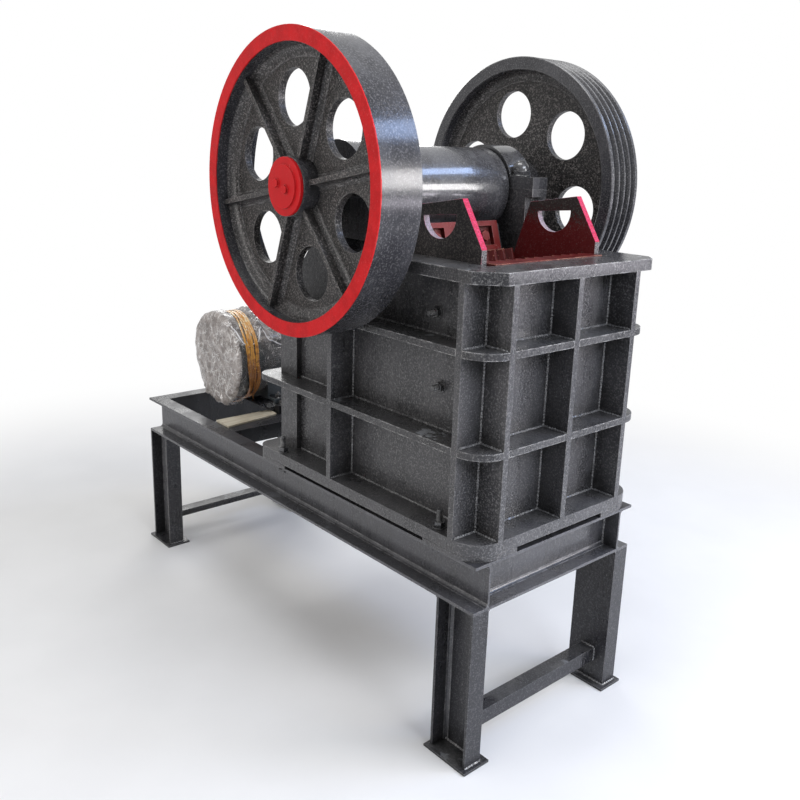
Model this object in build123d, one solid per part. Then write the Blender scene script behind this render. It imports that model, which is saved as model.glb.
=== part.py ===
"""Jaw crusher on a steel stand, with its drive motor wrapped for transport.

X runs from the motor end to the feed end, Y from the flywheel to the belt
sheave, and Z up from the floor. All sizes are in millimetres. Heights that
end in _H are above the top of the stand, and setbacks are behind its front.
"""
import os
from math import cos, radians, sin

from build123d import *

# Driving sizes of the stand, rolled from 140 mm channel
FOOT_T = 8
RAIL_LENGTH = 1886
STAND_WIDTH = 680
RAIL_TOP = 615
CHANNEL_H = 140
CHANNEL_B = 60
CHANNEL_WEB = 7
CHANNEL_FLANGE = 9
FOOT_LENGTH = 166
FOOT_WIDTH = 96
FOOT_OVERHANG = 14
MOTOR_BEAM_REAR = 440
BEAM_UNDER_BODY = 9
TIE_TOP = 122
TIE_DEPTH = 47
TIE_WIDTH = 50
TIE_T = 6
TIE_SETBACK = 43

# Driving sizes of the crusher body, a box of welded plate
PLATE_T = 20
BODY_HALF_WIDTH = 262
BODY_LENGTH = 992
RIB_DEPTH = 85
SIDE_RIB_SETBACK = 643
REAR_SHELF = 44
PAD_H = 14
FRONT_PAD_LENGTH = 199
REAR_PAD_LENGTH = 164
PAD_INNER_Y = 183
BASE_FLANGE_T = 35
LOWER_SHELF_H = 298
UPPER_SHELF_H = 558
SHELF_CORNER_R = 44
STRIP_T = 18
STRIP_WIDTH = 92
TOP_FLANGE_H = 723
TOP_FLANGE_T = 33
WHEEL_SIDE_CORNER = 64
BELT_SIDE_CORNER = 35

# Driving sizes of the shaft, its bearings and the wheels
SHAFT_SETBACK = 615
SHAFT_H = 923
THROW = 10
RUNNING_FIT = 0.05
JOURNAL_R = 50
ECCENTRIC_R = 68
SEAT_H = 785
SEAT_HALF = 190
LUG_HALF = 217
LUG_WIDTH = 67
LUG_T = 23
CAP_LUG_T = 36
HOUSING_R = 128
HOUSING_WIDTH = 96
WHEEL_R = 405
WHEEL_WIDTH = 132
WHEEL_GAP = 34
RIM_T = 40
HUB_R = 80
HUB_SHORT = 9
WEB_T = 22
FLYWHEEL_WEB_RECESS = 60
SHEAVE_WEB_RECESS = 55
HOLE_COUNT = 6
HOLE_RING_R = 236
HOLE_R = 75
FLYWHEEL_HOLE_ANGLE = 40.3
SHEAVE_HOLE_ANGLE = 44
RIB_T = 14
RIB_SHORT = 24
GROOVE_COUNT = 4
GROOVE_PITCH = 28
GROOVE_DEPTH = 18
CAP_R = 78
CAP_T = 10
CAP_BOSS_R = 58
CAP_BOSS_T = 6

# Driving sizes of the crushing chamber
CHEEK_T = 20
CHEEK_SETBACK = 30
CHEEK_STEP_H = 793
CHEEK_TOP_H = 915
CHEEK_TOP_SETBACK = 78
CHEEK_TOP_LENGTH = 174
CHEEK_TOP_FALL = 27
CHEEK_REAR_SETBACK = 56
CHEEK_REAR_H = 725
CHEEK_FOOT_LENGTH = 118
MOON_R = 62
MOON_SETBACK = 81
MOON_H = 868
MOON_TILT = 5
DIE_BACK_T = 42
TOOTH_DEPTH = 20
TOOTH_PITCH = 38
DIE_BOTTOM_H = 75
FIXED_DIE_TOP_H = 759
DIE_SIDE_GAP = 2
BARREL_R = 128
BARREL_SIDE_GAP = 9
JAW_SIDE_GAP = 8
JAW_ANGLE = 18
JAW_DEPTH = 110
CLOSED_GAP = 36
CLAMP_HALF = 155
CLAMP_LENGTH = 90
CLAMP_T = 50
CLAMP_BOLT_Y = 100
POCKET_SIZE = 58
POCKET_DEPTH = 16

# Driving sizes of the toggle and the tension rod behind the swing jaw
TOGGLE_H = 185
TOGGLE_T = 30
TOGGLE_HALF = 150
BLOCK_LENGTH = 199
BLOCK_BELOW = 70
BLOCK_ABOVE = 80
MOVING_GAP = 6
ROD_R = 14
ROD_EYE_R = 30
ROD_EYE_T = 36
SPRING_R = 33
SPRING_LENGTH = 112
SPRING_SEAT_R = 40
SPRING_SEAT_T = 12

# Driving sizes of the motor and its wrapping
MOTOR_SETBACK = 307
SHAFT_HEIGHT = 180
MOTOR_FRAME_R = 138
MOTOR_FIN_R = 158
FIN_COUNT = 20
FIN_T = 5
FRAME_FRONT_Y = 290
FRAME_REAR_Y = -62
SHIELD_T = 22
FAN_COVER_R = 166
FAN_COVER_LENGTH = 126
FAN_COVER_CHAMFER = 12
FOOT_SPAN = 330
FOOT_PLATE_T = 20
FOOT_MARGIN = 30
PEDESTAL_SPAN = 230
PEDESTAL_TOP = 90
MOTOR_SHAFT_R = 24
MOTOR_SHAFT_LENGTH = 110
PULLEY_R = 86
PULLEY_WIDTH = 124
PULLEY_GAP = 6
SLIDE_H = 35
SLIDE_WIDTH = 60
SLIDE_FIRST_Y = -5
SLIDE_SPAN = 250
SLIDE_END_GAP = 20
SLIDE_OVERLAP = 60
FILM_T = 3
FILM_FIT = 1.5
FILM_CUP_LENGTH = 140
FILM_TAIL_END = 262
FILM_TAIL_DROP = 30
WRAP_SIDES = 24
TWINE_T = 6
TWINE_GAP = 0.3
TWINE_WIDTH = 40
TWINE_BACK = 46

# Driving sizes of the thin board on the motor's cross channel
PLANK_T = 8
PLANK_LENGTH = 235
PLANK_WIDE = 93
PLANK_NARROW = 62
PLANK_ROUNDING = 16

rail_bottom = RAIL_TOP - CHANNEL_H
rail_end = RAIL_LENGTH / 2
rail_y = STAND_WIDTH / 2
rail_back = rail_y - CHANNEL_B

body_front = rail_end
body_rear = body_front - BODY_LENGTH
shelf_rear = body_rear - REAR_SHELF
plate_front = body_front - RIB_DEPTH
chamber_front = plate_front - PLATE_T
side_rib_x = body_front - SIDE_RIB_SETBACK
rib_edge = BODY_HALF_WIDTH + RIB_DEPTH
inner_wall = BODY_HALF_WIDTH - PLATE_T
base_bottom = RAIL_TOP + PAD_H
base_top = base_bottom + BASE_FLANGE_T
lower_shelf_top = RAIL_TOP + LOWER_SHELF_H
upper_shelf_top = RAIL_TOP + UPPER_SHELF_H
top_flange_bottom = RAIL_TOP + TOP_FLANGE_H
top_flange_top = top_flange_bottom + TOP_FLANGE_T

shaft_x = body_front - SHAFT_SETBACK
shaft_z = RAIL_TOP + SHAFT_H
eccentric_z = shaft_z - THROW
seat_z = RAIL_TOP + SEAT_H
wheel_inner = rib_edge + WHEEL_GAP
wheel_outer = wheel_inner + WHEEL_WIDTH
hub_end = wheel_outer - HUB_SHORT
barrel_half = inner_wall - BARREL_SIDE_GAP
jaw_half = inner_wall - CHEEK_T - JAW_SIDE_GAP
die_bottom = RAIL_TOP + DIE_BOTTOM_H


def bar_along_y(outline, y_low, y_high):
    """Solid with an outline in X and Z that runs from y_low to y_high."""
    face = Plane.XZ.offset(-y_high) * make_face(Polyline(*outline, close=True))
    return extrude(face, y_high - y_low)


def bar_along_x(outline, x_low, x_high):
    """Solid with an outline in Y and Z that runs from x_low to x_high."""
    face = Plane.YZ.offset(x_low) * make_face(Polyline(*outline, close=True))
    return extrude(face, x_high - x_low)


def plate(outline, z_low, z_high):
    """Flat plate with an outline in X and Y."""
    face = Plane.XY.offset(z_low) * make_face(Polyline(*outline, close=True))
    return extrude(face, z_high - z_low)


def block(x_low, x_high, y_low, y_high, z_low, z_high):
    return Pos((x_low + x_high) / 2, (y_low + y_high) / 2, (z_low + z_high) / 2) * Box(
        x_high - x_low, y_high - y_low, z_high - z_low)


def rod_along_y(x, z, radius, y_low, y_high):
    return Pos(x, (y_low + y_high) / 2, z) * Rot(90, 0, 0) * Cylinder(radius, y_high - y_low)


def prism_along_y(x, z, sides, inner_radius, y_low, y_high):
    """Bar of regular section whose flat sides lie inner_radius from its middle."""
    outline = RegularPolygon(inner_radius, sides, major_radius=False)
    return Pos(x, y_high, z) * Rot(90, 0, 0) * extrude(outline, y_high - y_low)


def rod_along_x(y, z, radius, x_low, x_high):
    return Pos((x_low + x_high) / 2, y, z) * Rot(0, 90, 0) * Cylinder(radius, x_high - x_low)


def mirrored(shape):
    """The same piece on the other side of the machine."""
    return mirror(shape, about=Plane.XZ)


def both_sides(*pieces):
    return Compound(list(pieces) + [mirrored(piece) for piece in pieces])


def channel(tip, back, low, high):
    """Outline of an upright channel: flange tips on one side, web on the other."""
    web = back - CHANNEL_WEB if tip < back else back + CHANNEL_WEB
    return [(back, low), (back, high), (tip, high), (tip, high - CHANNEL_FLANGE),
            (web, high - CHANNEL_FLANGE), (web, low + CHANNEL_FLANGE),
            (tip, low + CHANNEL_FLANGE), (tip, low)]


parts = {}


# Stand: two long channels, cross channels between them and four channel legs
def cross_channel(tip_x, back_x):
    return bar_along_y(channel(tip_x, back_x, rail_bottom, RAIL_TOP), -rail_back, rail_back)


def flat_channel(x_low, x_high):
    """Cross channel that lies with its web on top."""
    low, web = RAIL_TOP - CHANNEL_B, RAIL_TOP - CHANNEL_WEB
    outline = [(x_low, low), (x_low, RAIL_TOP), (x_high, RAIL_TOP), (x_high, low),
               (x_high - CHANNEL_FLANGE, low), (x_high - CHANNEL_FLANGE, web),
               (x_low + CHANNEL_FLANGE, web), (x_low + CHANNEL_FLANGE, low)]
    return bar_along_y(outline, -rail_back, rail_back)


def leg(x_low, x_high):
    """Upright channel under a rail, its web on the inner side."""
    web = -rail_back - CHANNEL_WEB
    near, far = x_low + CHANNEL_FLANGE, x_high - CHANNEL_FLANGE
    outline = [(x_low, -rail_back), (x_high, -rail_back), (x_high, -rail_y), (far, -rail_y),
               (far, web), (near, web), (near, -rail_y), (x_low, -rail_y)]
    return plate(outline, FOOT_T, rail_bottom)


def leg_tie(x_high):
    """Angle bar between two legs, one side on top and one facing the feed end."""
    x_low, low, under = x_high - TIE_WIDTH, TIE_TOP - TIE_DEPTH, TIE_TOP - TIE_T
    outline = [(x_low, TIE_TOP), (x_high, TIE_TOP), (x_high, low), (x_high - TIE_T, low),
               (x_high - TIE_T, under), (x_low, under)]
    return bar_along_y(outline, -rail_back, rail_back)


rail = bar_along_x(channel(-rail_y, -rail_back, rail_bottom, RAIL_TOP), -rail_end, rail_end)
parts["stand_rails"] = both_sides(rail)

motor_beam_rear = MOTOR_BEAM_REAR - rail_end
body_beam_x = body_rear + BEAM_UNDER_BODY
parts["stand_crossbeams"] = Compound([
    cross_channel(rail_end, rail_end - CHANNEL_B),
    cross_channel(body_beam_x - CHANNEL_B, body_beam_x),
    cross_channel(-rail_end, -rail_end + CHANNEL_B)])
parts["motor_crossbeam"] = flat_channel(motor_beam_rear, motor_beam_rear + CHANNEL_H)
parts["stand_legs"] = both_sides(leg(rail_end - CHANNEL_H, rail_end), leg(-rail_end, -rail_end + CHANNEL_H))

foot_outer = rail_y + FOOT_OVERHANG
foot_end = rail_end + FOOT_OVERHANG
front_foot = block(foot_end - FOOT_LENGTH, foot_end, -foot_outer, -foot_outer + FOOT_WIDTH, 0, FOOT_T)
rear_foot = block(-foot_end, -foot_end + FOOT_LENGTH, -foot_outer, -foot_outer + FOOT_WIDTH, 0, FOOT_T)
parts["foot_plates"] = both_sides(front_foot, rear_foot)

front_tie = leg_tie(rail_end - TIE_SETBACK)
parts["leg_ties"] = Compound([front_tie, mirror(front_tie, about=Plane.YZ)])

# Body: side plates run past the front plate and stand out as ribs
seat_front = shaft_x + SEAT_HALF
seat_rear = shaft_x - SEAT_HALF
side_outline = [(body_rear, base_bottom), (body_front, base_bottom), (body_front, top_flange_bottom),
                (seat_front, top_flange_bottom), (seat_front, seat_z), (seat_rear, seat_z),
                (body_rear, upper_shelf_top)]
parts["side_plates"] = both_sides(bar_along_y(side_outline, -BODY_HALF_WIDTH, -inner_wall))
parts["front_plate"] = block(chamber_front, plate_front, -inner_wall, inner_wall,
                             base_bottom, top_flange_bottom)

# The rear wall has a slot under the toggle block, where the tension rod comes out
toggle_z = RAIL_TOP + TOGGLE_H
block_bottom = toggle_z - BLOCK_BELOW
rear_wall = (body_rear, body_rear + PLATE_T, -inner_wall, inner_wall)
parts["rear_plates"] = Compound([
    block(*rear_wall, block_bottom, upper_shelf_top - 2 * PLATE_T), block(*rear_wall, base_bottom, base_top)])

# Upright ribs: the front plate's wings, one rib down the middle of the front, a rib on each side
parts["front_wings"] = both_sides(
    block(chamber_front, plate_front, -rib_edge, -BODY_HALF_WIDTH, base_bottom, top_flange_bottom))
parts["front_middle_rib"] = block(plate_front, body_front, -PLATE_T / 2, PLATE_T / 2,
                                  base_bottom, top_flange_bottom)
parts["side_ribs"] = both_sides(
    block(side_rib_x, side_rib_x + PLATE_T, -rib_edge, -BODY_HALF_WIDTH, base_bottom, seat_z))


def rear_side_piece(x_high, low, high):
    """Flat piece beside a side plate, rounded at the rear corner."""
    piece = block(shelf_rear, x_high, -rib_edge, -BODY_HALF_WIDTH, low, high)
    corner = piece.edges().filter_by(Axis.Z).group_by(Axis.X)[0].sort_by(Axis.Y)[0]
    return fillet(corner, SHELF_CORNER_R)


def front_corner(low, high):
    """Quarter disc that takes a shelf round a front corner of the body."""
    disc = Pos(plate_front, -BODY_HALF_WIDTH, (low + high) / 2) * Cylinder(RIB_DEPTH, high - low)
    return disc & block(plate_front, body_front, -rib_edge, -BODY_HALF_WIDTH, low, high)


def shelf_ring(top, thickness):
    """Flat shelf round the sides and the front, broken where the upright ribs pass."""
    low = top - thickness
    middle = block(side_rib_x + PLATE_T, chamber_front, -rib_edge, -BODY_HALF_WIDTH, low, top)
    bay = block(plate_front, body_front, -inner_wall, -PLATE_T / 2, low, top)
    return both_sides(rear_side_piece(side_rib_x, low, top), middle, front_corner(low, top), bay)


def rear_shelf(top, thickness):
    return block(shelf_rear, body_rear, -BODY_HALF_WIDTH, BODY_HALF_WIDTH, top - thickness, top)


parts["base_flange"] = shelf_ring(base_top, BASE_FLANGE_T)
parts["lower_shelf"] = shelf_ring(lower_shelf_top, PLATE_T)
parts["upper_shelf"] = shelf_ring(upper_shelf_top, PLATE_T)
parts["rear_shelves"] = Compound([rear_shelf(base_top, BASE_FLANGE_T), rear_shelf(lower_shelf_top, PLATE_T)])


def rear_strip(low, high):
    """Thick strip on the rear end of a side plate."""
    return block(body_rear, body_rear + STRIP_WIDTH, -BODY_HALF_WIDTH - STRIP_T, -BODY_HALF_WIDTH, low, high)


parts["rear_strips"] = both_sides(rear_strip(base_top, lower_shelf_top - PLATE_T),
                                  rear_strip(lower_shelf_top, upper_shelf_top - PLATE_T))

# Bolting pads under the corners of the base
side_pad = block(body_front - FRONT_PAD_LENGTH, plate_front, -rib_edge, -BODY_HALF_WIDTH,
                 RAIL_TOP, base_bottom)
rear_pad = rear_side_piece(shelf_rear + REAR_PAD_LENGTH, RAIL_TOP, base_bottom)
parts["base_pads"] = both_sides(side_pad + front_corner(RAIL_TOP, base_bottom), rear_pad)
parts["front_pads"] = both_sides(
    block(plate_front, body_front, -BODY_HALF_WIDTH, -PAD_INNER_Y, RAIL_TOP, base_bottom))

# Top flange: a U with its front corners cut off, open over the crushing chamber
parts["top_flange"] = plate([
    (seat_front, -rib_edge), (body_front - WHEEL_SIDE_CORNER, -rib_edge),
    (body_front, WHEEL_SIDE_CORNER - rib_edge), (body_front, rib_edge - BELT_SIDE_CORNER),
    (body_front - BELT_SIDE_CORNER, rib_edge), (seat_front, rib_edge),
    (seat_front, inner_wall), (chamber_front, inner_wall),
    (chamber_front, -inner_wall), (seat_front, -inner_wall)], top_flange_bottom, top_flange_top)

# Bearing housings, split at shaft height and bolted through lugs
housing_y = (1 - inner_wall - HOUSING_WIDTH, 1 - inner_wall)
lug_y = (1 - inner_wall - LUG_WIDTH, 1 - inner_wall)
lug_x = (shaft_x - LUG_HALF, shaft_x + LUG_HALF)
shaft_hole = rod_along_y(shaft_x, shaft_z, JOURNAL_R + RUNNING_FIT, housing_y[0] - 1, housing_y[1] + 1)
housing_base = block(seat_rear, seat_front, *housing_y, seat_z, shaft_z - LUG_T)
housing_base += block(*lug_x, *lug_y, shaft_z - LUG_T, shaft_z)
parts["bearing_bases"] = both_sides(housing_base - shaft_hole)

cap_box = block(shaft_x - HOUSING_R, shaft_x + HOUSING_R, *housing_y, shaft_z, shaft_z + HOUSING_R)
housing_cap = rod_along_y(shaft_x, shaft_z, HOUSING_R, *housing_y) & cap_box
housing_cap += block(*lug_x, *lug_y, shaft_z, shaft_z + CAP_LUG_T)
parts["bearing_caps"] = both_sides(housing_cap - shaft_hole)

# Cheek plates line the sides of the chamber and stand up past the top flange
cheek_front = chamber_front - CHEEK_SETBACK
ear_front = cheek_front - CHEEK_TOP_SETBACK
ear_rear = ear_front - CHEEK_TOP_LENGTH
cheek_y = (-inner_wall, -inner_wall + CHEEK_T)
cheek = bar_along_y([
    (cheek_front, die_bottom), (cheek_front, RAIL_TOP + CHEEK_STEP_H),
    (ear_front, RAIL_TOP + CHEEK_TOP_H), (ear_rear, RAIL_TOP + CHEEK_TOP_H - CHEEK_TOP_FALL),
    (ear_rear - CHEEK_REAR_SETBACK, RAIL_TOP + CHEEK_REAR_H),
    (cheek_front - CHEEK_FOOT_LENGTH, die_bottom)], *cheek_y)
moon = rod_along_y(0, 0, MOON_R, *cheek_y) & block(-MOON_R, MOON_R, *cheek_y, -MOON_R, 0)
cheek -= Pos(ear_front - MOON_SETBACK, 0, RAIL_TOP + MOON_H) * Rot(0, -MOON_TILT, 0) * moon
parts["cheek_plates"] = both_sides(cheek)


def toothed_die(half_width, height):
    """Die that stands on Z = 0, its back at X = 0 and its upright teeth towards +X."""
    count = int(2 * half_width // TOOTH_PITCH)
    first = -count * TOOTH_PITCH / 2
    crest = DIE_BACK_T + TOOTH_DEPTH
    outline = [(0, -half_width), (DIE_BACK_T, -half_width), (DIE_BACK_T, first)]
    for tooth in range(count):
        start = first + tooth * TOOTH_PITCH
        outline += [(crest, start + TOOTH_PITCH * 0.4), (crest, start + TOOTH_PITCH * 0.6),
                    (DIE_BACK_T, start + TOOTH_PITCH)]
    outline += [(DIE_BACK_T, half_width), (0, half_width)]
    return plate(outline, 0, height)


fixed_die = toothed_die(inner_wall - CHEEK_T - DIE_SIDE_GAP, FIXED_DIE_TOP_H - DIE_BOTTOM_H)
parts["fixed_jaw_die"] = Pos(chamber_front, 0, die_bottom) * Rot(0, 0, 180) * fixed_die

# Swing jaw: a barrel round the eccentric and a plate that hangs from it, leaning on the chamber
tilt = radians(JAW_ANGLE)
die_depth = DIE_BACK_T + TOOTH_DEPTH
jaw_foot_x = chamber_front - die_depth - CLOSED_GAP - die_depth / cos(tilt)
jaw_place = Pos(jaw_foot_x, 0, die_bottom) * Rot(0, -JAW_ANGLE, 0)
barrel_along_jaw = (jaw_foot_x - shaft_x) * sin(tilt) + (eccentric_z - die_bottom) * cos(tilt)
clamp_top = barrel_along_jaw - BARREL_R
die_length = clamp_top - CLAMP_LENGTH
parts["swing_jaw_die"] = jaw_place * toothed_die(jaw_half, die_length)

barrel = rod_along_y(shaft_x, eccentric_z, BARREL_R, -barrel_half, barrel_half)
jaw_plate = jaw_place * block(-JAW_DEPTH, 0, -jaw_half, jaw_half, 0, clamp_top)
neck = block(shaft_x - HOUSING_R / 3, shaft_x + BARREL_R * 0.7, -jaw_half, jaw_half,
             eccentric_z - BARREL_R - CLAMP_LENGTH / 4, eccentric_z)
bushing = rod_along_y(shaft_x, eccentric_z, ECCENTRIC_R + RUNNING_FIT, -barrel_half, barrel_half)
parts["swing_jaw"] = barrel + jaw_plate + neck - bushing

# Clamp that holds the top of the swing die, with a pocket round each bolt head
clamp = block(0, CLAMP_T, -CLAMP_HALF, CLAMP_HALF, die_length, clamp_top)
for y in (-CLAMP_BOLT_Y, CLAMP_BOLT_Y):
    clamp -= Pos(CLAMP_T, y, (die_length + clamp_top) / 2) * Box(2 * POCKET_DEPTH, POCKET_SIZE, POCKET_SIZE)
parts["jaw_clamp"] = jaw_place * clamp

# Shaft with the eccentric in its middle
shaft = rod_along_y(shaft_x, shaft_z, JOURNAL_R, -hub_end, hub_end)
shaft += rod_along_y(shaft_x, eccentric_z, ECCENTRIC_R, -barrel_half, barrel_half)
parts["eccentric_shaft"] = shaft


# Wheels are made about the Z axis, with their outer face at Z = 0 and the wheel below it
def disc(radius, bore, low, high):
    ring = Cylinder(radius, high - low) - Cylinder(bore, high - low)
    return Pos(0, 0, (low + high) / 2) * ring


def wheel_web(recess):
    """Web disc with its round lightening holes."""
    web = disc(WHEEL_R - RIM_T, HUB_R, -recess - WEB_T, -recess)
    hole = Pos(HOLE_RING_R, 0, -recess - WEB_T / 2) * Cylinder(HOLE_R, WEB_T)
    return web - [Rot(0, 0, 360 / HOLE_COUNT * i) * hole for i in range(HOLE_COUNT)]


def wheel_ribs():
    """Radial ribs between the holes, from the hub to the rim on the web's outer face."""
    height = FLYWHEEL_WEB_RECESS - RIB_SHORT
    bar = Pos(WHEEL_R / 2, 0, -FLYWHEEL_WEB_RECESS + height / 2) * Box(WHEEL_R, RIB_T, height)
    bar &= disc(WHEEL_R - RIM_T, HUB_R, -FLYWHEEL_WEB_RECESS, -RIB_SHORT)
    return Compound([Rot(0, 0, 360 / HOLE_COUNT * (i + 0.5)) * bar for i in range(HOLE_COUNT)])


def grooved_rim():
    """Rim with V grooves for the belts."""
    first = (GROOVE_COUNT * GROOVE_PITCH - WHEEL_WIDTH) / 2
    outline = [(WHEEL_R - RIM_T, 0), (WHEEL_R, 0), (WHEEL_R, first)]
    for i in range(GROOVE_COUNT):
        ridge = first - (i + 1) * GROOVE_PITCH
        outline += [(WHEEL_R - GROOVE_DEPTH, ridge + GROOVE_PITCH / 2), (WHEEL_R, ridge)]
    outline += [(WHEEL_R, -WHEEL_WIDTH), (WHEEL_R - RIM_T, -WHEEL_WIDTH)]
    return revolve(Plane.XZ * make_face(Polyline(*outline, close=True)), Axis.Z)


flywheel_place = Pos(shaft_x, -wheel_outer, shaft_z) * Rot(90, 0, 0) * Rot(0, 0, FLYWHEEL_HOLE_ANGLE)
sheave_place = Pos(shaft_x, wheel_outer, shaft_z) * Rot(-90, 0, 0) * Rot(0, 0, -SHEAVE_HOLE_ANGLE)
hub = disc(HUB_R, JOURNAL_R, -WHEEL_WIDTH, -HUB_SHORT)
parts["flywheel_rim"] = flywheel_place * disc(WHEEL_R, WHEEL_R - RIM_T, -WHEEL_WIDTH, 0)
parts["flywheel_web"] = flywheel_place * wheel_web(FLYWHEEL_WEB_RECESS)
parts["flywheel_ribs"] = flywheel_place * wheel_ribs()
parts["sheave_rim"] = sheave_place * grooved_rim()
parts["sheave_web"] = sheave_place * wheel_web(SHEAVE_WEB_RECESS)
parts["wheel_hubs"] = Compound([flywheel_place * hub, sheave_place * hub])

# Discs bolted on the shaft's ends to hold the wheels
hub_cap = rod_along_y(shaft_x, shaft_z, CAP_R, -hub_end - CAP_T, -hub_end)
hub_cap += rod_along_y(shaft_x, shaft_z, CAP_BOSS_R, -hub_end - CAP_T - CAP_BOSS_T, -hub_end - CAP_T)
parts["hub_caps"] = both_sides(hub_cap)


def jaw_back_at(z):
    """X of the swing jaw's back face at a height."""
    return jaw_foot_x - (JAW_DEPTH + (z - die_bottom) * sin(tilt)) / cos(tilt)


# Toggle plate between the rear block and the foot of the swing jaw
block_front = body_rear + PLATE_T + BLOCK_LENGTH
toggle_front = jaw_back_at(toggle_z + TOGGLE_T / 2) - THROW - MOVING_GAP
parts["toggle_block"] = block(body_rear + PLATE_T, block_front, -inner_wall, inner_wall,
                              block_bottom, toggle_z + BLOCK_ABOVE)
parts["toggle_plate"] = block(block_front, toggle_front, -TOGGLE_HALF, TOGGLE_HALF,
                              toggle_z - TOGGLE_T / 2, toggle_z + TOGGLE_T / 2)

# Tension rod: held to the swing jaw by an eye, and pulled back by a spring behind the rear wall
rod_z = (base_top + block_bottom) / 2 - THROW
spring_front = shelf_rear - THROW - MOVING_GAP
spring_rear = spring_front - SPRING_LENGTH
eye_x = jaw_back_at(rod_z) - ROD_EYE_R / cos(tilt)
rod = rod_along_x(0, rod_z, ROD_R, spring_rear - 2 * SPRING_SEAT_T, eye_x)
rod += rod_along_x(0, rod_z, SPRING_SEAT_R, spring_rear - SPRING_SEAT_T, spring_rear)
rod += rod_along_x(0, rod_z, SPRING_R, spring_rear, spring_front)
rod += rod_along_y(eye_x, rod_z, ROD_EYE_R, -ROD_EYE_T / 2, ROD_EYE_T / 2)
parts["tension_rod"] = rod

# Motor on two slide rails
motor_x = MOTOR_SETBACK - rail_end
slide_top = RAIL_TOP + SLIDE_H
motor_z = slide_top + SHAFT_HEIGHT
fan_end = FRAME_REAR_Y - FAN_COVER_LENGTH
slides = [block(-rail_end + SLIDE_END_GAP, motor_beam_rear + SLIDE_OVERLAP,
                y - SLIDE_WIDTH / 2, y + SLIDE_WIDTH / 2, RAIL_TOP, slide_top)
          for y in (SLIDE_FIRST_Y, SLIDE_FIRST_Y + SLIDE_SPAN)]
parts["motor_slide_rails"] = Compound(slides)

foot_y = (SLIDE_FIRST_Y - FOOT_MARGIN, SLIDE_FIRST_Y + SLIDE_SPAN + FOOT_MARGIN)
motor = rod_along_y(motor_x, motor_z, MOTOR_FRAME_R, FRAME_REAR_Y, FRAME_FRONT_Y)
for low in (FRAME_REAR_Y, FRAME_FRONT_Y - SHIELD_T):
    motor += rod_along_y(motor_x, motor_z, MOTOR_FIN_R, low, low + SHIELD_T)
fin = block(0, MOTOR_FIN_R - 1, FRAME_REAR_Y + SHIELD_T, FRAME_FRONT_Y - SHIELD_T, -FIN_T / 2, FIN_T / 2)
for i in range(FIN_COUNT):
    motor += Pos(motor_x, 0, motor_z) * Rot(0, 360 / FIN_COUNT * i, 0) * fin
motor += block(motor_x - PEDESTAL_SPAN / 2, motor_x + PEDESTAL_SPAN / 2, *foot_y,
               slide_top, motor_z - PEDESTAL_TOP)
motor += block(motor_x - FOOT_SPAN / 2, motor_x + FOOT_SPAN / 2, *foot_y,
               slide_top, slide_top + FOOT_PLATE_T)
motor += rod_along_y(motor_x, motor_z, MOTOR_SHAFT_R, FRAME_FRONT_Y, FRAME_FRONT_Y + MOTOR_SHAFT_LENGTH)
fan_cover = rod_along_y(motor_x, motor_z, FAN_COVER_R, fan_end, FRAME_REAR_Y)
parts["motor_housing"] = motor + chamfer(fan_cover.edges().group_by(Axis.Y)[0], FAN_COVER_CHAMFER)

pulley_low = FRAME_FRONT_Y + PULLEY_GAP
pulley = rod_along_y(motor_x, motor_z, PULLEY_R, pulley_low, pulley_low + PULLEY_WIDTH)
parts["motor_pulley"] = pulley - rod_along_y(motor_x, motor_z, MOTOR_SHAFT_R, pulley_low,
                                             FRAME_FRONT_Y + MOTOR_SHAFT_LENGTH)

# Clear film over the fan end of the motor, its tail laid over the frame, and the twine that ties it
film_inner = FAN_COVER_R + FILM_FIT
film_outer = film_inner + FILM_T
film_y = (fan_end - FILM_T, fan_end + FILM_CUP_LENGTH)
motor_line = (motor_x, motor_z, WRAP_SIDES)
film = prism_along_y(*motor_line, film_outer, *film_y)
film -= prism_along_y(*motor_line, film_inner, fan_end, film_y[1])
tail = prism_along_y(*motor_line, film_outer, film_y[1], FILM_TAIL_END)
tail -= prism_along_y(*motor_line, film_inner, film_y[1], FILM_TAIL_END)
tail &= block(motor_x - 2 * film_outer, motor_x + 2 * film_outer, film_y[1], FILM_TAIL_END,
              motor_z - FILM_TAIL_DROP, motor_z + 2 * film_outer)
parts["motor_wrap"] = film + tail
twine_y = (fan_end + TWINE_BACK, fan_end + TWINE_BACK + TWINE_WIDTH)
twine = prism_along_y(*motor_line, film_outer + TWINE_GAP + TWINE_T, *twine_y)
parts["wrap_twine"] = twine - prism_along_y(*motor_line, film_outer + TWINE_GAP, *twine_y)

# Thin board on the motor's cross channel, wider at the rail
plank_near = 2 - rail_back
plank_far = plank_near + PLANK_LENGTH
plank_rear = motor_beam_rear + 2
board = plate([(plank_rear, plank_near), (plank_rear + PLANK_WIDE, plank_near),
               (plank_rear + PLANK_NARROW, plank_far), (plank_rear, plank_far)],
              RAIL_TOP, RAIL_TOP + PLANK_T)
parts["packing_plank"] = fillet(board.edges().filter_by(Axis.Z).group_by(Axis.Y)[-1], PLANK_ROUNDING)

os.makedirs("parts", exist_ok=True)
for name, shape in parts.items():
    shape.label = name
    export_step(shape, f"parts/{name}.step")
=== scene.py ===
import math
import random

import bmesh
import bpy
from mathutils import Matrix, Vector, noise


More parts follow.
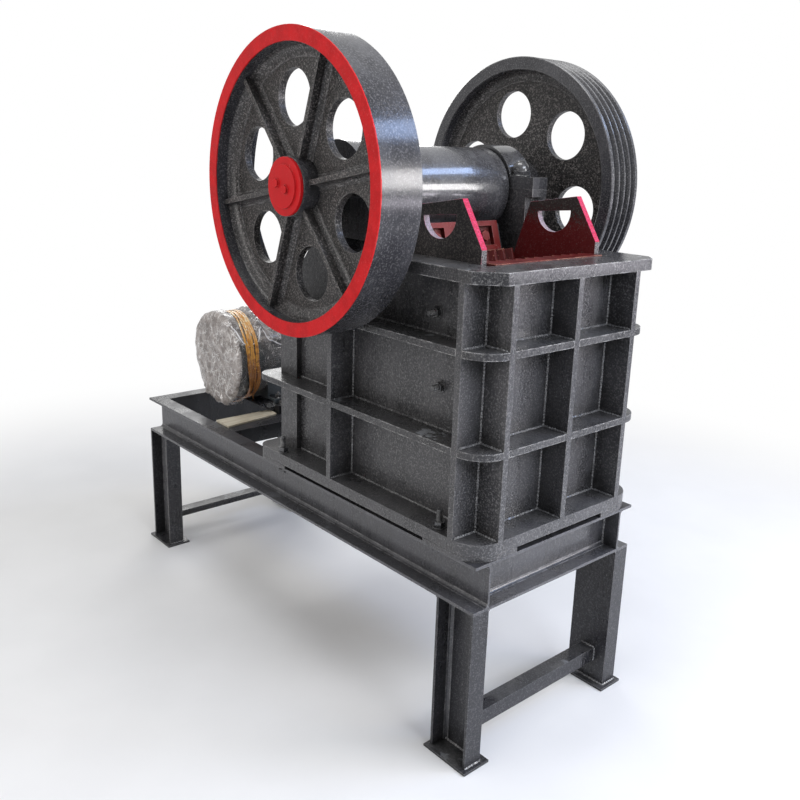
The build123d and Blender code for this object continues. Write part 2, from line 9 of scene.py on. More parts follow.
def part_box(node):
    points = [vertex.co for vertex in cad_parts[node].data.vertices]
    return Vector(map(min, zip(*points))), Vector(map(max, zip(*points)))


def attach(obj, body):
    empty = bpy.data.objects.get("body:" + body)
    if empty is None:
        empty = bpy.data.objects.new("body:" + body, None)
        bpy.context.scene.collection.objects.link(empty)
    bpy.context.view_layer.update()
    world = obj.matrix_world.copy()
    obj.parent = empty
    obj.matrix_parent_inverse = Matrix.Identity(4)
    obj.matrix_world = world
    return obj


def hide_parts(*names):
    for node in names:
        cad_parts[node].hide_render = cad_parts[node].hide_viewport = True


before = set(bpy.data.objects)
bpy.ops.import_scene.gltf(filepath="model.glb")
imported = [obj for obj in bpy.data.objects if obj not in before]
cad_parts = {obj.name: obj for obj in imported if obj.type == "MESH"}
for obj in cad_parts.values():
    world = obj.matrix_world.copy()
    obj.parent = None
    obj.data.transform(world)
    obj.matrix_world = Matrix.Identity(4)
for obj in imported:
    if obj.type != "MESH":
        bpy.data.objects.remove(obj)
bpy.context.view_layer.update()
scene = bpy.context.scene
scene.view_settings.view_transform = "Standard"

# Camera where the photographer stood, near the front corner on the flywheel side
cameraView = {
    "place": (2.3252, -1.8269, 1.6567),
    "heading": 138.0904,  # degrees from +X
    "pitch": -15.0148,
    "roll": 2.0120,
    "lens": 39.06,
    "shift": (-0.01396, -0.0276),
}


def addCamera(view):
    heading, pitch = math.radians(view["heading"]), math.radians(view["pitch"])
    level = math.cos(pitch)
    forward = Vector((level * math.cos(heading), level * math.sin(heading), math.sin(pitch)))
    turn = forward.to_track_quat("-Z", "Y").to_matrix() @ Matrix.Rotation(math.radians(view["roll"]), 3, "Z")
    data = bpy.data.cameras.new("camera")
    data.lens = view["lens"]
    data.sensor_width = 36
    data.shift_x, data.shift_y = view["shift"]
    camera = bpy.data.objects.new("camera", data)
    camera.location = view["place"]
    camera.rotation_euler = turn.to_euler()
    scene.collection.objects.link(camera)
    scene.camera = camera


addCamera(cameraView)
print("camera is up")

# Plain pale studio: white all round, four lamps that light the object and three long ones that
# the wheels and the barrel mirror as bands
studio = {
    "worldLight": 0.34,
    "mirrored": 0.65,  # share of the white surroundings that gloss shows
    "floorColour": (0.86, 0.86, 0.86),
    "floorReach": 14,
    "floorFade": (1.5, 3.4),  # metres from the middle where the floor turns to plain white
    "lamps": [  # name, place, aim, size, watts, colour
        ("feedEndLamp", (4.2, 0.2, 3.4), (0.4, 0, 1.0), (2.6, 1.5), 112, (0.85, 0.90, 1.0)),
        ("topLamp", (0.2, -0.6, 4.4), (0.1, 0, 1.0), (2.4, 1.4), 56, (1.0, 1.0, 1.0)),
        ("sideLamp", (-0.6, -4.6, 2.2), (0, 0, 0.9), (3.0, 2.0), 56, (1.0, 0.97, 0.94)),
        ("rearLamp", (-4.2, 2.6, 3.0), (0, 0, 0.9), (2.6, 1.8), 62, (1.0, 1.0, 1.0)),
        ("windowLamp", (3.5, 2.02, 1.98), (0.33, -0.45, 1.6), (1.7, 0.74), 62, (1.0, 0.98, 0.98)),
        ("lowLamp", (3.5, 2.45, 1.02), (0.33, -0.3, 1.5), (2.0, 0.34), 16, (0.95, 0.90, 1.0)),
        ("skyLamp", (2.78, 3.0, 4.25), (0.33, -0.2, 1.6), (2.2, 0.80), 62, (0.46, 0.62, 1.0)),
    ],
}


class Graph:  # short way to put nodes in a tree and join them
    def __init__(self, tree):
        self.tree = tree

    def add(self, kind, values=None, **settings):
        node = self.tree.nodes.new(kind)
        for key, value in settings.items():
            setattr(node, key, value)
        for key, value in (values or {}).items():
            if isinstance(value, bpy.types.NodeSocket):
                self.tree.links.new(value, node.inputs[key])
            elif node.inputs[key].type == "RGBA":  # colours are written without alpha
                node.inputs[key].default_value = (*value, 1)
            else:
                node.inputs[key].default_value = value
        return node

    def math(self, operation, a, b=0.0, clamp=False):
        return self.add("ShaderNodeMath", {0: a, 1: b}, operation=operation, use_clamp=clamp).outputs[0]

    def times(self, a, b):
        return self.math("MULTIPLY", a, b)

    def plus(self, a, b, clamp=False):
        return self.math("ADD", a, b, clamp)

    def minus(self, a, b):
        return self.math("SUBTRACT", a, b)

    def reach(self, a, b):  # length of a flat vector
        return self.math("SQRT", self.plus(self.times(a, a), self.times(b, b)))

    def stretch(self, vector, factors):
        return self.add("ShaderNodeVectorMath", {0: vector, 1: factors}, operation="MULTIPLY").outputs[0]

    def remap(self, value, low, high, toLow=0.0, toHigh=1.0):
        values = {0: value, 1: low, 2: high, 3: toLow, 4: toHigh}
        return self.add("ShaderNodeMapRange", values, interpolation_type="SMOOTHSTEP").outputs[0]

    def mix(self, factor, a, b, blend="MIX"):
        values = {0: factor, 6: a, 7: b}
        return self.add("ShaderNodeMix", values, data_type="RGBA", blend_type=blend).outputs[2]

    def noise(self, vector, scale, detail=2.0, rough=0.5):
        values = {"Vector": vector, "Scale": scale, "Detail": detail, "Roughness": rough}
        return self.add("ShaderNodeTexNoise", values).outputs[0]

    def split(self, vector):
        return self.add("ShaderNodeSeparateXYZ", {0: vector}).outputs

    def here(self):
        return self.add("ShaderNodeTexCoord").outputs["Object"]


def newGroup(name, inputs, outputs):  # shader group with a vector and some numbers in, and numbers out
    tree = bpy.data.node_groups.new(name, "ShaderNodeTree")
    tree.interface.new_socket("Vector", in_out="INPUT", socket_type="NodeSocketVector")
    for label, value in inputs.items():
        tree.interface.new_socket(label, in_out="INPUT", socket_type="NodeSocketFloat").default_value = value
    for label in outputs:
        tree.interface.new_socket(label, in_out="OUTPUT", socket_type="NodeSocketFloat")
    graph = Graph(tree)
    return graph, graph.add("NodeGroupInput").outputs, graph.add("NodeGroupOutput").inputs


def newMaterial(name):
    material = bpy.data.materials.new(name)
    material.use_nodes = True
    material.node_tree.nodes.clear()
    return material, Graph(material.node_tree)


def buildWorld(values):
    world = bpy.data.worlds.new("studioWorld")
    scene.world = world
    world.use_nodes = True
    g = Graph(world.node_tree)
    world.node_tree.nodes.clear()
    path = g.add("ShaderNodeLightPath").outputs
    seen = g.math("MAXIMUM", path["Is Camera Ray"], path["Is Transmission Ray"])
    mirrored = g.times(path["Is Glossy Ray"], values["mirrored"])
    strength = g.math("MAXIMUM", g.math("MAXIMUM", seen, mirrored), values["worldLight"])
    back = g.add("ShaderNodeBackground", {"Color": (1, 1, 1), "Strength": strength})
    g.add("ShaderNodeOutputWorld", {"Surface": back.outputs[0]})


def addLamp(name, place, aim, size, watts, colour):
    data = bpy.data.lights.new(name, "AREA")
    data.shape = "RECTANGLE"
    data.size, data.size_y = size
    data.energy, data.color = watts, colour
    light = bpy.data.objects.new(name, data)
    light.location = place
    light.rotation_euler = (Vector(aim) - Vector(place)).to_track_quat("-Z", "Y").to_euler()
    scene.collection.objects.link(light)


def addFloor(values):
    mesh, reach = bpy.data.meshes.new("studioFloor"), values["floorReach"]
    corners = [(x * reach, y * reach, 0) for x, y in ((-1, -1), (1, -1), (1, 1), (-1, 1))]
    mesh.from_pydata(corners, [], [(0, 1, 2, 3)])
    floor = bpy.data.objects.new("studioFloor", mesh)
    scene.collection.objects.link(floor)
    material, g = newMaterial("paleFloor")
    x, y, _ = g.split(g.here())
    far = g.remap(g.reach(x, y), *values["floorFade"])
    path = g.add("ShaderNodeLightPath").outputs
    white = g.times(far, g.math("MAXIMUM", path["Is Camera Ray"], path["Is Transmission Ray"]))
    grain = g.remap(g.noise(g.here(), 3.0, 4.0), 0.3, 0.7, 0.97, 1.0)
    tone = g.add("ShaderNodeCombineColor", {0: grain, 1: grain, 2: grain}).outputs[0]
    colour = g.mix(1.0, values["floorColour"], tone, "MULTIPLY")
    matt = g.add("ShaderNodeBsdfDiffuse", {"Color": colour})
    glow = g.add("ShaderNodeEmission", {"Color": (1, 1, 1), "Strength": 1.0})
    both = g.add("ShaderNodeMixShader", {0: white, 1: matt.outputs[0], 2: glow.outputs[0]})
    g.add("ShaderNodeOutputMaterial", {"Surface": both.outputs[0]})
    mesh.materials.append(material)


buildWorld(studio)
for lamp in studio["lamps"]:
    addLamp(*lamp)
addFloor(studio)
print("studio is lit")

# Shader effects that several finishes share


def buildCoatGroup():  # sprayed coat: orange peel, fine grit and slow changes of tone
    g, given, out = newGroup("sprayedCoat", {"PeelScale": 110.0, "GritScale": 420.0, "GritShare": 0.3},
                             ("Height", "Tone", "LitSpeck", "Sparkle", "Patch"))
    here, join = given["Vector"], g.tree.links.new
    peel = g.noise(here, given["PeelScale"], 2.0, 0.45)
    lumps = g.add("ShaderNodeTexVoronoi", {"Vector": here, "Scale": given["PeelScale"], "Smoothness": 0.8},
                  feature="SMOOTH_F1").outputs["Distance"]
    grit = g.noise(here, given["GritScale"], 3.0, 0.6)
    coarse = g.times(g.plus(peel, lumps), 0.5)
    height = g.add("ShaderNodeMix", {0: given["GritShare"], 2: coarse, 3: grit}, data_type="FLOAT")
    join(height.outputs[0], out["Height"])
    slow = g.noise(here, 3.2, 5.0, 0.62)
    streak = g.noise(g.stretch(here, (14.0, 14.0, 2.2)), 1.0, 4.0, 0.6)
    join(g.remap(g.plus(slow, streak), 0.72, 1.28), out["Tone"])
    # painted highlight: small pale specks, gathered in patches
    dots = g.remap(g.noise(here, 190.0, 1.0, 0.5), 0.66, 0.74)
    join(g.times(dots, g.remap(g.noise(here, 9.0, 3.0), 0.48, 0.66)), out["LitSpeck"])
    flakes = g.remap(g.noise(here, 205.0, 2.0, 0.62), 0.38, 0.70)
    join(g.math("POWER", flakes, 2.4), out["Sparkle"])
    join(g.remap(g.noise(here, 8.5, 6.0, 0.62), 0.62, 0.665), out["Patch"])
    return g.tree


def buildEdgeGroup():  # rounded edges: one mask for a painted highlight along every edge, and one, broken up by noise, for where the coat has worn off them, which is also a painted highlight
    g, given, out = newGroup("wornAndHighlitEdges", {"Radius": 0.003, "Breakup": 34.0}, ("WornAndHighlit", "EdgeHighlight"))
    rounded = g.add("ShaderNodeBevel", {"Radius": given["Radius"]}, samples=4).outputs[0]
    flat = g.add("ShaderNodeNewGeometry").outputs["Normal"]
    turn = g.add("ShaderNodeVectorMath", {0: rounded, 1: flat}, operation="DOT_PRODUCT").outputs["Value"]
    edge = g.remap(turn, 0.995, 0.86)
    g.tree.links.new(edge, out["EdgeHighlight"])
    torn = g.remap(g.noise(given["Vector"], given["Breakup"], 5.0, 0.65), 0.42, 0.62)
    g.tree.links.new(g.times(edge, torn), out["WornAndHighlit"])
    return g.tree


def buildDustAndShadeGroup():  # pale dust on what faces up, and painted shade that darkens corners and recesses
    g, given, out = newGroup("dustAndCornerShade", {"Reach": 0.05}, ("Dust", "CornerShade", "Up"))
    up = g.split(g.add("ShaderNodeNewGeometry").outputs["Normal"])[2]
    cloud = g.remap(g.noise(given["Vector"], 11.0, 6.0, 0.66), 0.38, 0.68)
    g.tree.links.new(g.times(g.remap(up, 0.35, 0.95), cloud), out["Dust"])
    g.tree.links.new(g.remap(up, 0.7, 0.95), out["Up"])
    # painted shade: ambient occlusion, broken up by noise, darkens corners and recesses
    lit = g.add("ShaderNodeAmbientOcclusion", {"Distance": given["Reach"]}, samples=6).outputs["AO"]
    smear = g.remap(g.noise(given["Vector"], 24.0, 4.0, 0.6), 0.3, 0.7, 0.35, 1.0)
    g.tree.links.new(g.times(g.remap(lit, 0.85, 0.35), smear), out["CornerShade"])
    return g.tree


coatGroup = buildCoatGroup()
edgeGroup = buildEdgeGroup()
dustAndShadeGroup = buildDustAndShadeGroup()


def placeGroup(g, tree, values):
    return g.add("ShaderNodeGroup", values, node_tree=tree).outputs


def bumped(g, height, look):
    values = {"Height": height, "Strength": look["bump"], "Distance": look["bumpDepth"]}
    return g.add("ShaderNodeBump", values).outputs[0]


shaderDefaults = {"metal": 0.0, "coat": 0.0, "coatRoughness": 0.1, "specular": 0.5}


def endMaterial(g, material, colour, roughness, height, look):
    values = dict(shaderDefaults, **look)
    shader = g.add("ShaderNodeBsdfPrincipled", {
        "Base Color": colour, "Roughness": roughness, "Metallic": values["metal"],
        "Normal": bumped(g, height, look), "Coat Weight": values["coat"],
        "Coat Roughness": values["coatRoughness"], "Specular IOR Level": values["specular"]})
    g.add("ShaderNodeOutputMaterial", {"Surface": shader.outputs[0]})
    return material


# Grey coats: what most of them have, and where each finish differs
greyLook = {"wornAndLit": (0.36, 0.35, 0.34), "rough": (0.16, 0.34), "bump": 0.7, "bumpDepth": 0.0024,
            "edge": 0.0035, "wearAndHighlight": 0.5, "dust": 0.12, "cornerShade": 0.85, "peel": 100.0, "grit": 0.3,
            "sparkle": 0.6, "flake": (0.26, 0.255, 0.26), "reach": 0.08, "topGlint": 0.0, "coat": 0.3,
            "dustColour": (0.34, 0.335, 0.325), "topGlintColour": (0.62, 0.65, 0.70),
            "cornerShadeColour": (0.014, 0.014, 0.014), "edgeHighlightColour": (0.19, 0.19, 0.193)}
paintLooks = {
    "bodyPaint": dict(greyLook, colour=(0.033, 0.033, 0.036), light=(0.066, 0.065, 0.07), rough=(0.2, 0.42),
        bump=0.85, dust=0.18, reach=0.11, coatRoughness=0.14, specular=0.42),
    "barrelPaint": dict(greyLook, colour=(0.036, 0.036, 0.04), light=(0.066, 0.066, 0.072), bump=0.6,
        bumpDepth=0.0018, sparkle=0.4, reach=0.06, coat=0.85),
    "webPaint": dict(greyLook, colour=(0.013, 0.0125, 0.0125), light=(0.034, 0.032, 0.032),
        rough=(0.26, 0.46), bump=1.0, bumpDepth=0.0034, edge=0.004, wearAndHighlight=0.6, cornerShade=0.8, peel=115.0,
        grit=0.4, sparkle=0.8, flake=(0.3, 0.275, 0.265), coat=0.15, coatRoughness=0.16, specular=0.35),
    "wheelPaint": dict(greyLook, colour=(0.024, 0.024, 0.028), light=(0.046, 0.046, 0.052),
        rough=(0.14, 0.3), bumpDepth=0.0013, edge=0.004, cornerShade=0.8, peel=95.0, sparkle=0.42,
        flake=(0.26, 0.25, 0.26), reach=0.05, coat=0.55, coatRoughness=0.15, specular=0.45),
    "standPaint": dict(greyLook, colour=(0.044, 0.044, 0.05), light=(0.08, 0.08, 0.091),
        wornAndLit=(0.36, 0.35, 0.36), rough=(0.22, 0.44), bump=0.5, bumpDepth=0.0016, edge=0.0028, wearAndHighlight=0.55,
        dust=0.05, cornerShade=0.9, peel=85.0, grit=0.25, sparkle=0.42, flake=(0.22, 0.22, 0.23), reach=0.1,
        topGlint=0.12, coat=0.5, coatRoughness=0.16, specular=0.38, hollow=(0.8865, 0.2835),
        hollowShow=0.92, hollowColour=(0.003, 0.003, 0.004), top=0.61, topShadeShow=0.5,
        topShadeColour=(0.010, 0.010, 0.012)),
    "legPaint": dict(greyLook, colour=(0.013, 0.013, 0.016), light=(0.027, 0.027, 0.032),
        wornAndLit=(0.34, 0.33, 0.34), rough=(0.22, 0.44), bump=0.5, bumpDepth=0.0016, edge=0.0028, dust=0.2,
        cornerShade=0.9, peel=85.0, grit=0.25, sparkle=0.4, flake=(0.18, 0.18, 0.19), reach=0.1, topGlint=0.2,
        coat=0.25, coatRoughness=0.15, specular=0.35),
    "flangePaint": dict(greyLook, colour=(0.026, 0.026, 0.029), light=(0.054, 0.053, 0.057),
        wornAndLit=(0.62, 0.61, 0.6), rough=(0.18, 0.42), bump=0.8, edge=0.0056, wearAndHighlight=0.95, dust=0.08, peel=95.0,
        sparkle=0.55, flake=(0.26, 0.255, 0.25), topGlint=0.55, coat=0.25, coatRoughness=0.13, specular=0.36),
    "filletPaint": dict(greyLook, colour=(0.02, 0.019, 0.019), light=(0.046, 0.044, 0.044),
        wornAndLit=(0.46, 0.45, 0.45), rough=(0.24, 0.42), bump=0.8, edge=0.003, wearAndHighlight=0.95, cornerShade=0.5, peel=115.0,
        grit=0.4, sparkle=0.8, flake=(0.3, 0.28, 0.28), reach=0.03, coatRoughness=0.16, specular=0.35),
    "boltPaint": dict(greyLook, colour=(0.022, 0.022, 0.025), light=(0.06, 0.06, 0.064),
        wornAndLit=(0.5, 0.49, 0.49), rough=(0.14, 0.3), bump=0.4, bumpDepth=0.0008, edge=0.0015, wearAndHighlight=0.8,
        dust=0.2, cornerShade=0.6, peel=160.0, sparkle=0.3, flake=(0.2, 0.2, 0.21), reach=0.02, coat=1.0,
        coatRoughness=0.07),
    "weldPaint": dict(greyLook, colour=(0.05, 0.05, 0.054), light=(0.115, 0.115, 0.122),
        wornAndLit=(0.55, 0.54, 0.53), bumpDepth=0.0012, edge=0.002, wearAndHighlight=0.7, dust=0.2, cornerShade=0.2, peel=150.0,
        grit=0.4, flake=(0.45, 0.45, 0.46), reach=0.02, coat=0.6),
    "motorPaint": dict(greyLook, colour=(0.055, 0.068, 0.075), light=(0.085, 0.1, 0.11),
        wornAndLit=(0.25, 0.26, 0.27), rough=(0.28, 0.45), bump=0.3, bumpDepth=0.001, edge=0.002, wearAndHighlight=0.3,
        dust=0.25, cornerShade=0.7, sparkle=0.3, flake=(0.2, 0.22, 0.24), reach=0.05, coat=0.0),
}


def greyCoat(g, look):  # colour, roughness and height of the dark grey coat, its edge mask and gloss
    here = g.here()
    coat = placeGroup(g, coatGroup, {"Vector": here, "PeelScale": look["peel"], "GritShare": look["grit"]})
    edges = placeGroup(g, edgeGroup, {"Vector": here, "Radius": look["edge"]})
    dustAndShade = placeGroup(g, dustAndShadeGroup, {"Vector": here, "Reach": look["reach"]})
    colour = g.mix(coat["Tone"], look["colour"], look["light"])
    colour = g.mix(g.times(coat["Sparkle"], look["sparkle"]), colour, look["flake"])
    # painted highlight: pale specks in patches
    colour = g.mix(g.times(coat["LitSpeck"], 0.35), colour, look["wornAndLit"])
    colour = g.mix(g.times(dustAndShade["Dust"], look["dust"]), colour, look["dustColour"])
    # painted highlight: pale bluish glints in patches on upward faces
    topGlint = g.times(g.times(dustAndShade["Up"], coat["Patch"]), look["topGlint"])
    colour = g.mix(topGlint, colour, look["topGlintColour"])
    gloss = look["coat"]
    if "hollow" in look:  # painted shade: the stand's upward faces above a height, and its inner faces, get a darker colour and less gloss
        x, y, z = g.split(here)
        top = g.times(dustAndShade["Up"], g.math("GREATER_THAN", z, look["top"]))
        colour = g.mix(g.times(top, look["topShadeShow"]), colour, look["topShadeColour"])
        along = g.math("LESS_THAN", g.math("ABSOLUTE", x), look["hollow"][0])
        across = g.math("LESS_THAN", g.math("ABSOLUTE", y), look["hollow"][1])
        inside = g.times(g.times(along, across), g.minus(1.0, dustAndShade["Up"]))
        colour = g.mix(g.times(inside, look["hollowShow"]), colour, look["hollowColour"])
        gloss = g.times(g.minus(1.0, g.math("MAXIMUM", inside, top)), gloss)
    # painted shade: darker in corners and recesses
    colour = g.mix(g.times(dustAndShade["CornerShade"], look["cornerShade"]), colour, look["cornerShadeColour"])
    # painted highlight: a lighter colour along every edge
    colour = g.mix(g.times(edges["EdgeHighlight"], 0.35), colour, look["edgeHighlightColour"])
    # worn edges in the pale worn colour, also a painted highlight
    colour = g.mix(g.times(edges["WornAndHighlit"], look["wearAndHighlight"]), colour, look["wornAndLit"])
    roughness = g.remap(coat["Tone"], 0.0, 1.0, *look["rough"])
    roughness = g.plus(roughness, g.times(dustAndShade["Dust"], look["dust"] * 0.5), clamp=True)
    return colour, roughness, coat["Height"], gloss, edges, here


def makeGreyPaint(name, look):
    material, g = newMaterial(name)
    colour, roughness, height, gloss, _, _ = greyCoat(g, look)
    return endMaterial(g, material, colour, roughness, height, dict(look, coat=gloss))


materials = {name: makeGreyPaint(name, look) for name, look in paintLooks.items()}
print("grey paints are mixed")


def makeRimPaint(name, look):  # flywheel rim: grey, with its outer face in red
    material, g = newMaterial(name)
    colour, roughness, height, gloss, edges, here = greyCoat(g, look)
    wobble = g.times(g.noise(here, 60.0, 3.0), 0.003)
    depth = g.plus(g.times(g.split(here)[1], -1.0), wobble)
    red = g.remap(depth, look["redFrom"], look["redFrom"] + 0.0015)
    brushed = g.noise(here, 26.0, 4.0, 0.6)
    redCoat = g.mix(g.remap(brushed, 0.35, 0.65), look["red"], look["redLight"])
    redCoat = g.mix(g.remap(g.noise(here, 260.0, 2.0), 0.55, 0.75, 0.0, 0.35), redCoat, look["redWornAndLit"])
    # worn edges in pale red, also a painted highlight
    redCoat = g.mix(g.times(edges["WornAndHighlit"], 0.5), redCoat, look["redWornAndLit"])
    colour = g.mix(red, colour, redCoat)
    roughness = g.mix(red, roughness, g.remap(brushed, 0.0, 1.0, 0.34, 0.55))
    coated = g.times(g.minus(1.0, red), gloss)
    return endMaterial(g, material, colour, roughness, height, dict(look, coat=coated))


def makeRed(name, look):  # plain red enamel or the dull red of bare castings
    material, g = newMaterial(name)
    here = g.here()
    coat = placeGroup(g, coatGroup, {"Vector": here, "PeelScale": look["peel"], "GritShare": 0.4})
    edges = placeGroup(g, edgeGroup, {"Vector": here, "Radius": look["edge"]})
    dustAndShade = placeGroup(g, dustAndShadeGroup, {"Vector": here, "Reach": 0.04})
    colour = g.mix(coat["Tone"], look["colour"], look["light"])
    # painted highlight: pale specks in patches
    colour = g.mix(g.times(coat["LitSpeck"], 0.5), colour, look["wornAndLit"])
    # painted shade: darker in corners and recesses
    colour = g.mix(g.times(dustAndShade["CornerShade"], look["cornerShade"]), colour, (0.012, 0.006, 0.006))
    # painted highlight: a lighter red along every edge
    colour = g.mix(g.times(edges["EdgeHighlight"], look["edgeHighlightShow"]), colour, look["edgeHighlightColour"])
    # worn edges in the pale worn colour, also a painted highlight
    colour = g.mix(g.times(edges["WornAndHighlit"], look["wearAndHighlight"]), colour, look["wornAndLit"])
    roughness = g.remap(coat["Tone"], 0.0, 1.0, *look["rough"])
    return endMaterial(g, material, colour, roughness, coat["Height"], look)


def makeCheekPaint(name, look):  # cheek plates: grey overspray outside, dull red inside, bright red edges
    material, g = newMaterial(name)
    here = g.here()
    x, y, z = g.split(here)
    facing = g.split(g.add("ShaderNodeNewGeometry").outputs["True Normal"])
    outward = g.times(facing[1], g.math("SIGN", y))
    coat = placeGroup(g, coatGroup, {"Vector": here, "PeelScale": 90.0, "GritShare": 0.5})
    edges = placeGroup(g, edgeGroup, {"Vector": here, "Radius": 0.003})
    mist = g.noise(here, 250.0, 3.0, 0.7)
    height = g.remap(z, *look["mistHeight"])  # the mist of grey gets thin towards the flange
    sprayed = g.remap(g.plus(mist, g.times(height, 0.34)), 0.56, 0.70)
    inside = g.mix(g.remap(mist, 0.4, 0.65), look["inside"], look["insideLight"])
    inside = g.mix(sprayed, inside, g.mix(g.remap(mist, 0.5, 0.68), look["mist"], look["outsideLight"]))
    outside = g.mix(g.remap(mist, 0.48, 0.62), look["outside"], look["outsideLight"])
    # painted highlight: pale specks in patches
    outside = g.mix(g.times(coat["LitSpeck"], 0.6), outside, look["outsideLitSpeck"])
    colour = g.mix(g.remap(outward, 0.4, 0.6), inside, outside)
    edgeFace = g.math("LESS_THAN", g.math("ABSOLUTE", facing[1]), 0.5)
    slanted = g.math("GREATER_THAN", facing[2], 0.12)
    reach = g.reach(g.minus(x, look["moon"][0]), g.minus(z, look["moon"][1]))
    edgeRed = g.mix(g.remap(mist, 0.46, 0.62), look["edge"], look["edgeLight"])
    edgeRed = g.mix(g.times(coat["Sparkle"], 0.55), edgeRed, look["edgeDark"])
    edgeGrey = g.mix(g.remap(mist, 0.4, 0.6), look["outside"], look["edgeGrey"])
    moonEdge = g.mix(g.remap(mist, 0.42, 0.60), look["edgeGrey"], look["edgeLilac"])
    edgeTone = g.mix(slanted, edgeGrey, edgeRed)
    edgeTone = g.mix(g.math("LESS_THAN", reach, look["moon"][2]), edgeTone, moonEdge)
    colour = g.mix(edgeFace, colour, edgeTone)
    # worn edges in light red, also a painted highlight
    colour = g.mix(g.times(edges["WornAndHighlit"], 0.5), colour, look["edgeLight"])
    roughness = g.remap(mist, 0.2, 0.8, 0.38, 0.6)
    return endMaterial(g, material, colour, roughness, coat["Height"], look)


def makeSteel(name, look):  # turned or rolled bare steel with fine rings and a little rust
    material, g = newMaterial(name)
    here = g.here()
    lines = g.noise(g.stretch(here, look["lay"]), 1.0, 4.0, 0.7)
    spots = g.remap(g.noise(here, 30.0, 5.0, 0.7), 0.56, 0.7)
    colour = g.mix(lines, look["colour"], look["light"])
    colour = g.mix(g.times(spots, look["rust"]), colour, (0.11, 0.045, 0.02))
    dustAndShade = placeGroup(g, dustAndShadeGroup, {"Vector": here, "Reach": 0.02})
    # painted shade: darker in corners and recesses
    colour = g.mix(g.times(dustAndShade["CornerShade"], 0.7), colour, (0.02, 0.018, 0.016))
    roughness = g.remap(lines, 0.3, 0.7, *look["rough"])
    return endMaterial(g, material, colour, roughness, lines, look)


def makeWood(name, look):  # pale board with long grain
    material, g = newMaterial(name)
    here = g.here()
    grain = g.noise(g.stretch(here, (95.0, 6.0, 95.0)), 1.0, 6.0, 0.62)
    fibre = g.noise(g.stretch(here, (700.0, 40.0, 700.0)), 1.0, 3.0)
    colour = g.mix(g.remap(grain, 0.34, 0.66), look["colour"], look["light"])
    stain = g.remap(g.noise(here, 18.0, 4.0), 0.5, 0.75)
    colour = g.mix(g.times(stain, 0.45), colour, look["stain"])
    height = g.plus(g.times(grain, 0.6), g.times(fibre, 0.4))
    return endMaterial(g, material, colour, g.remap(fibre, 0.2, 0.8, 0.6, 0.85), height, look)


def makeFilm(name, look):  # crumpled clear film: partly see-through, with painted highlights along thin creases
    material, g = newMaterial(name)
    here = g.here()
    swirl = g.add("ShaderNodeTexNoise", {"Vector": here, "Scale": 11.0, "Detail": 3.0}).outputs["Color"]
    bent = g.add("ShaderNodeVectorMath", {0: swirl, 1: here, 3: look["warp"]}, operation="SCALE").outputs[0]
    bent = g.add("ShaderNodeVectorMath", {0: bent, 1: here}, operation="ADD").outputs[0]
    lines, height = 0.0, 0.0
    for step, (scale, width, weight) in enumerate(look["creases"]):
        turned = g.add("ShaderNodeMapping", {"Vector": bent, "Rotation": (0.7 * step, 1.1 * step, 0.5 + step),
                                             "Scale": (1.0, 1.0, 0.45 + 0.25 * step)}).outputs[0]
        edge = g.add("ShaderNodeTexVoronoi", {"Vector": turned, "Scale": scale},
                     feature="DISTANCE_TO_EDGE").outputs["Distance"]
        lines = g.math("MAXIMUM", lines, g.remap(edge, 0.0, width, weight, 0.0))
        height = g.plus(height, g.times(g.math("MINIMUM", edge, 0.25), weight))
    broken = g.remap(g.noise(here, 42.0, 3.0, 0.6), 0.40, 0.56)
    lines = g.times(lines, broken)
    cloud = g.noise(here, 24.0, 5.0, 0.6)
    colour = g.mix(g.remap(cloud, 0.35, 0.68), look["colour"], look["light"])
    # painted highlight: pale lines along the creases
    colour = g.mix(g.times(lines, look["lineShow"]), colour, look["line"])
    _, y, z = g.split(here)
    wave = g.times(g.noise(here, 13.0, 2.0), 0.03)
    side = g.remap(y, -0.1900, -0.1845)
    below = g.times(side, g.remap(g.plus(z, wave), 0.928, 0.914))
    cover = g.minus(g.minus(look["cover"], g.times(side, look["sides"])), g.times(below, look["low"]))
    solid = g.plus(cover, g.times(lines, look["lineCover"]))
    solid = g.plus(solid, g.remap(cloud, 0.3, 0.7, -0.10, 0.10), clamp=True)
    shader = g.add("ShaderNodeBsdfPrincipled", {
        "Base Color": colour, "Roughness": g.remap(cloud, 0.2, 0.8, *look["rough"]), "Alpha": solid,
        "Normal": bumped(g, height, look), "Coat Weight": 0.5, "Coat Roughness": 0.12,
        "Specular IOR Level": 0.6})
    g.add("ShaderNodeOutputMaterial", {"Surface": shader.outputs[0]})
    return material


def makeTwineFinish(name, look):  # flat plastic twine with long fibres, with painted highlight and glints towards the top and painted shade towards the bottom
    material, g = newMaterial(name)
    here = g.here()
    strands = g.noise(g.stretch(here, (26.0, 620.0, 26.0)), 1.0, 4.0, 0.6)
    patch = g.noise(here, 70.0, 4.0, 0.6)
    # painted light: the colour gets brighter with height and duller towards the bottom
    up = g.remap(g.split(here)[2], 0.74, 1.0, -0.20, 0.09)
    colour = g.mix(g.remap(strands, 0.36, 0.62), look["colour"], look["light"])
    colour = g.mix(g.remap(g.minus(patch, up), 0.50, 0.68, 0.0, 0.85), colour, look["dullAndShade"])
    # painted highlight: pale glints, more of them towards the top
    bright = g.plus(g.times(g.plus(patch, strands), 0.5), up)
    colour = g.mix(g.remap(bright, 0.56, 0.68), colour, look["glint"])
    return endMaterial(g, material, colour, g.remap(strands, 0.2, 0.8, 0.2, 0.42), strands, look)


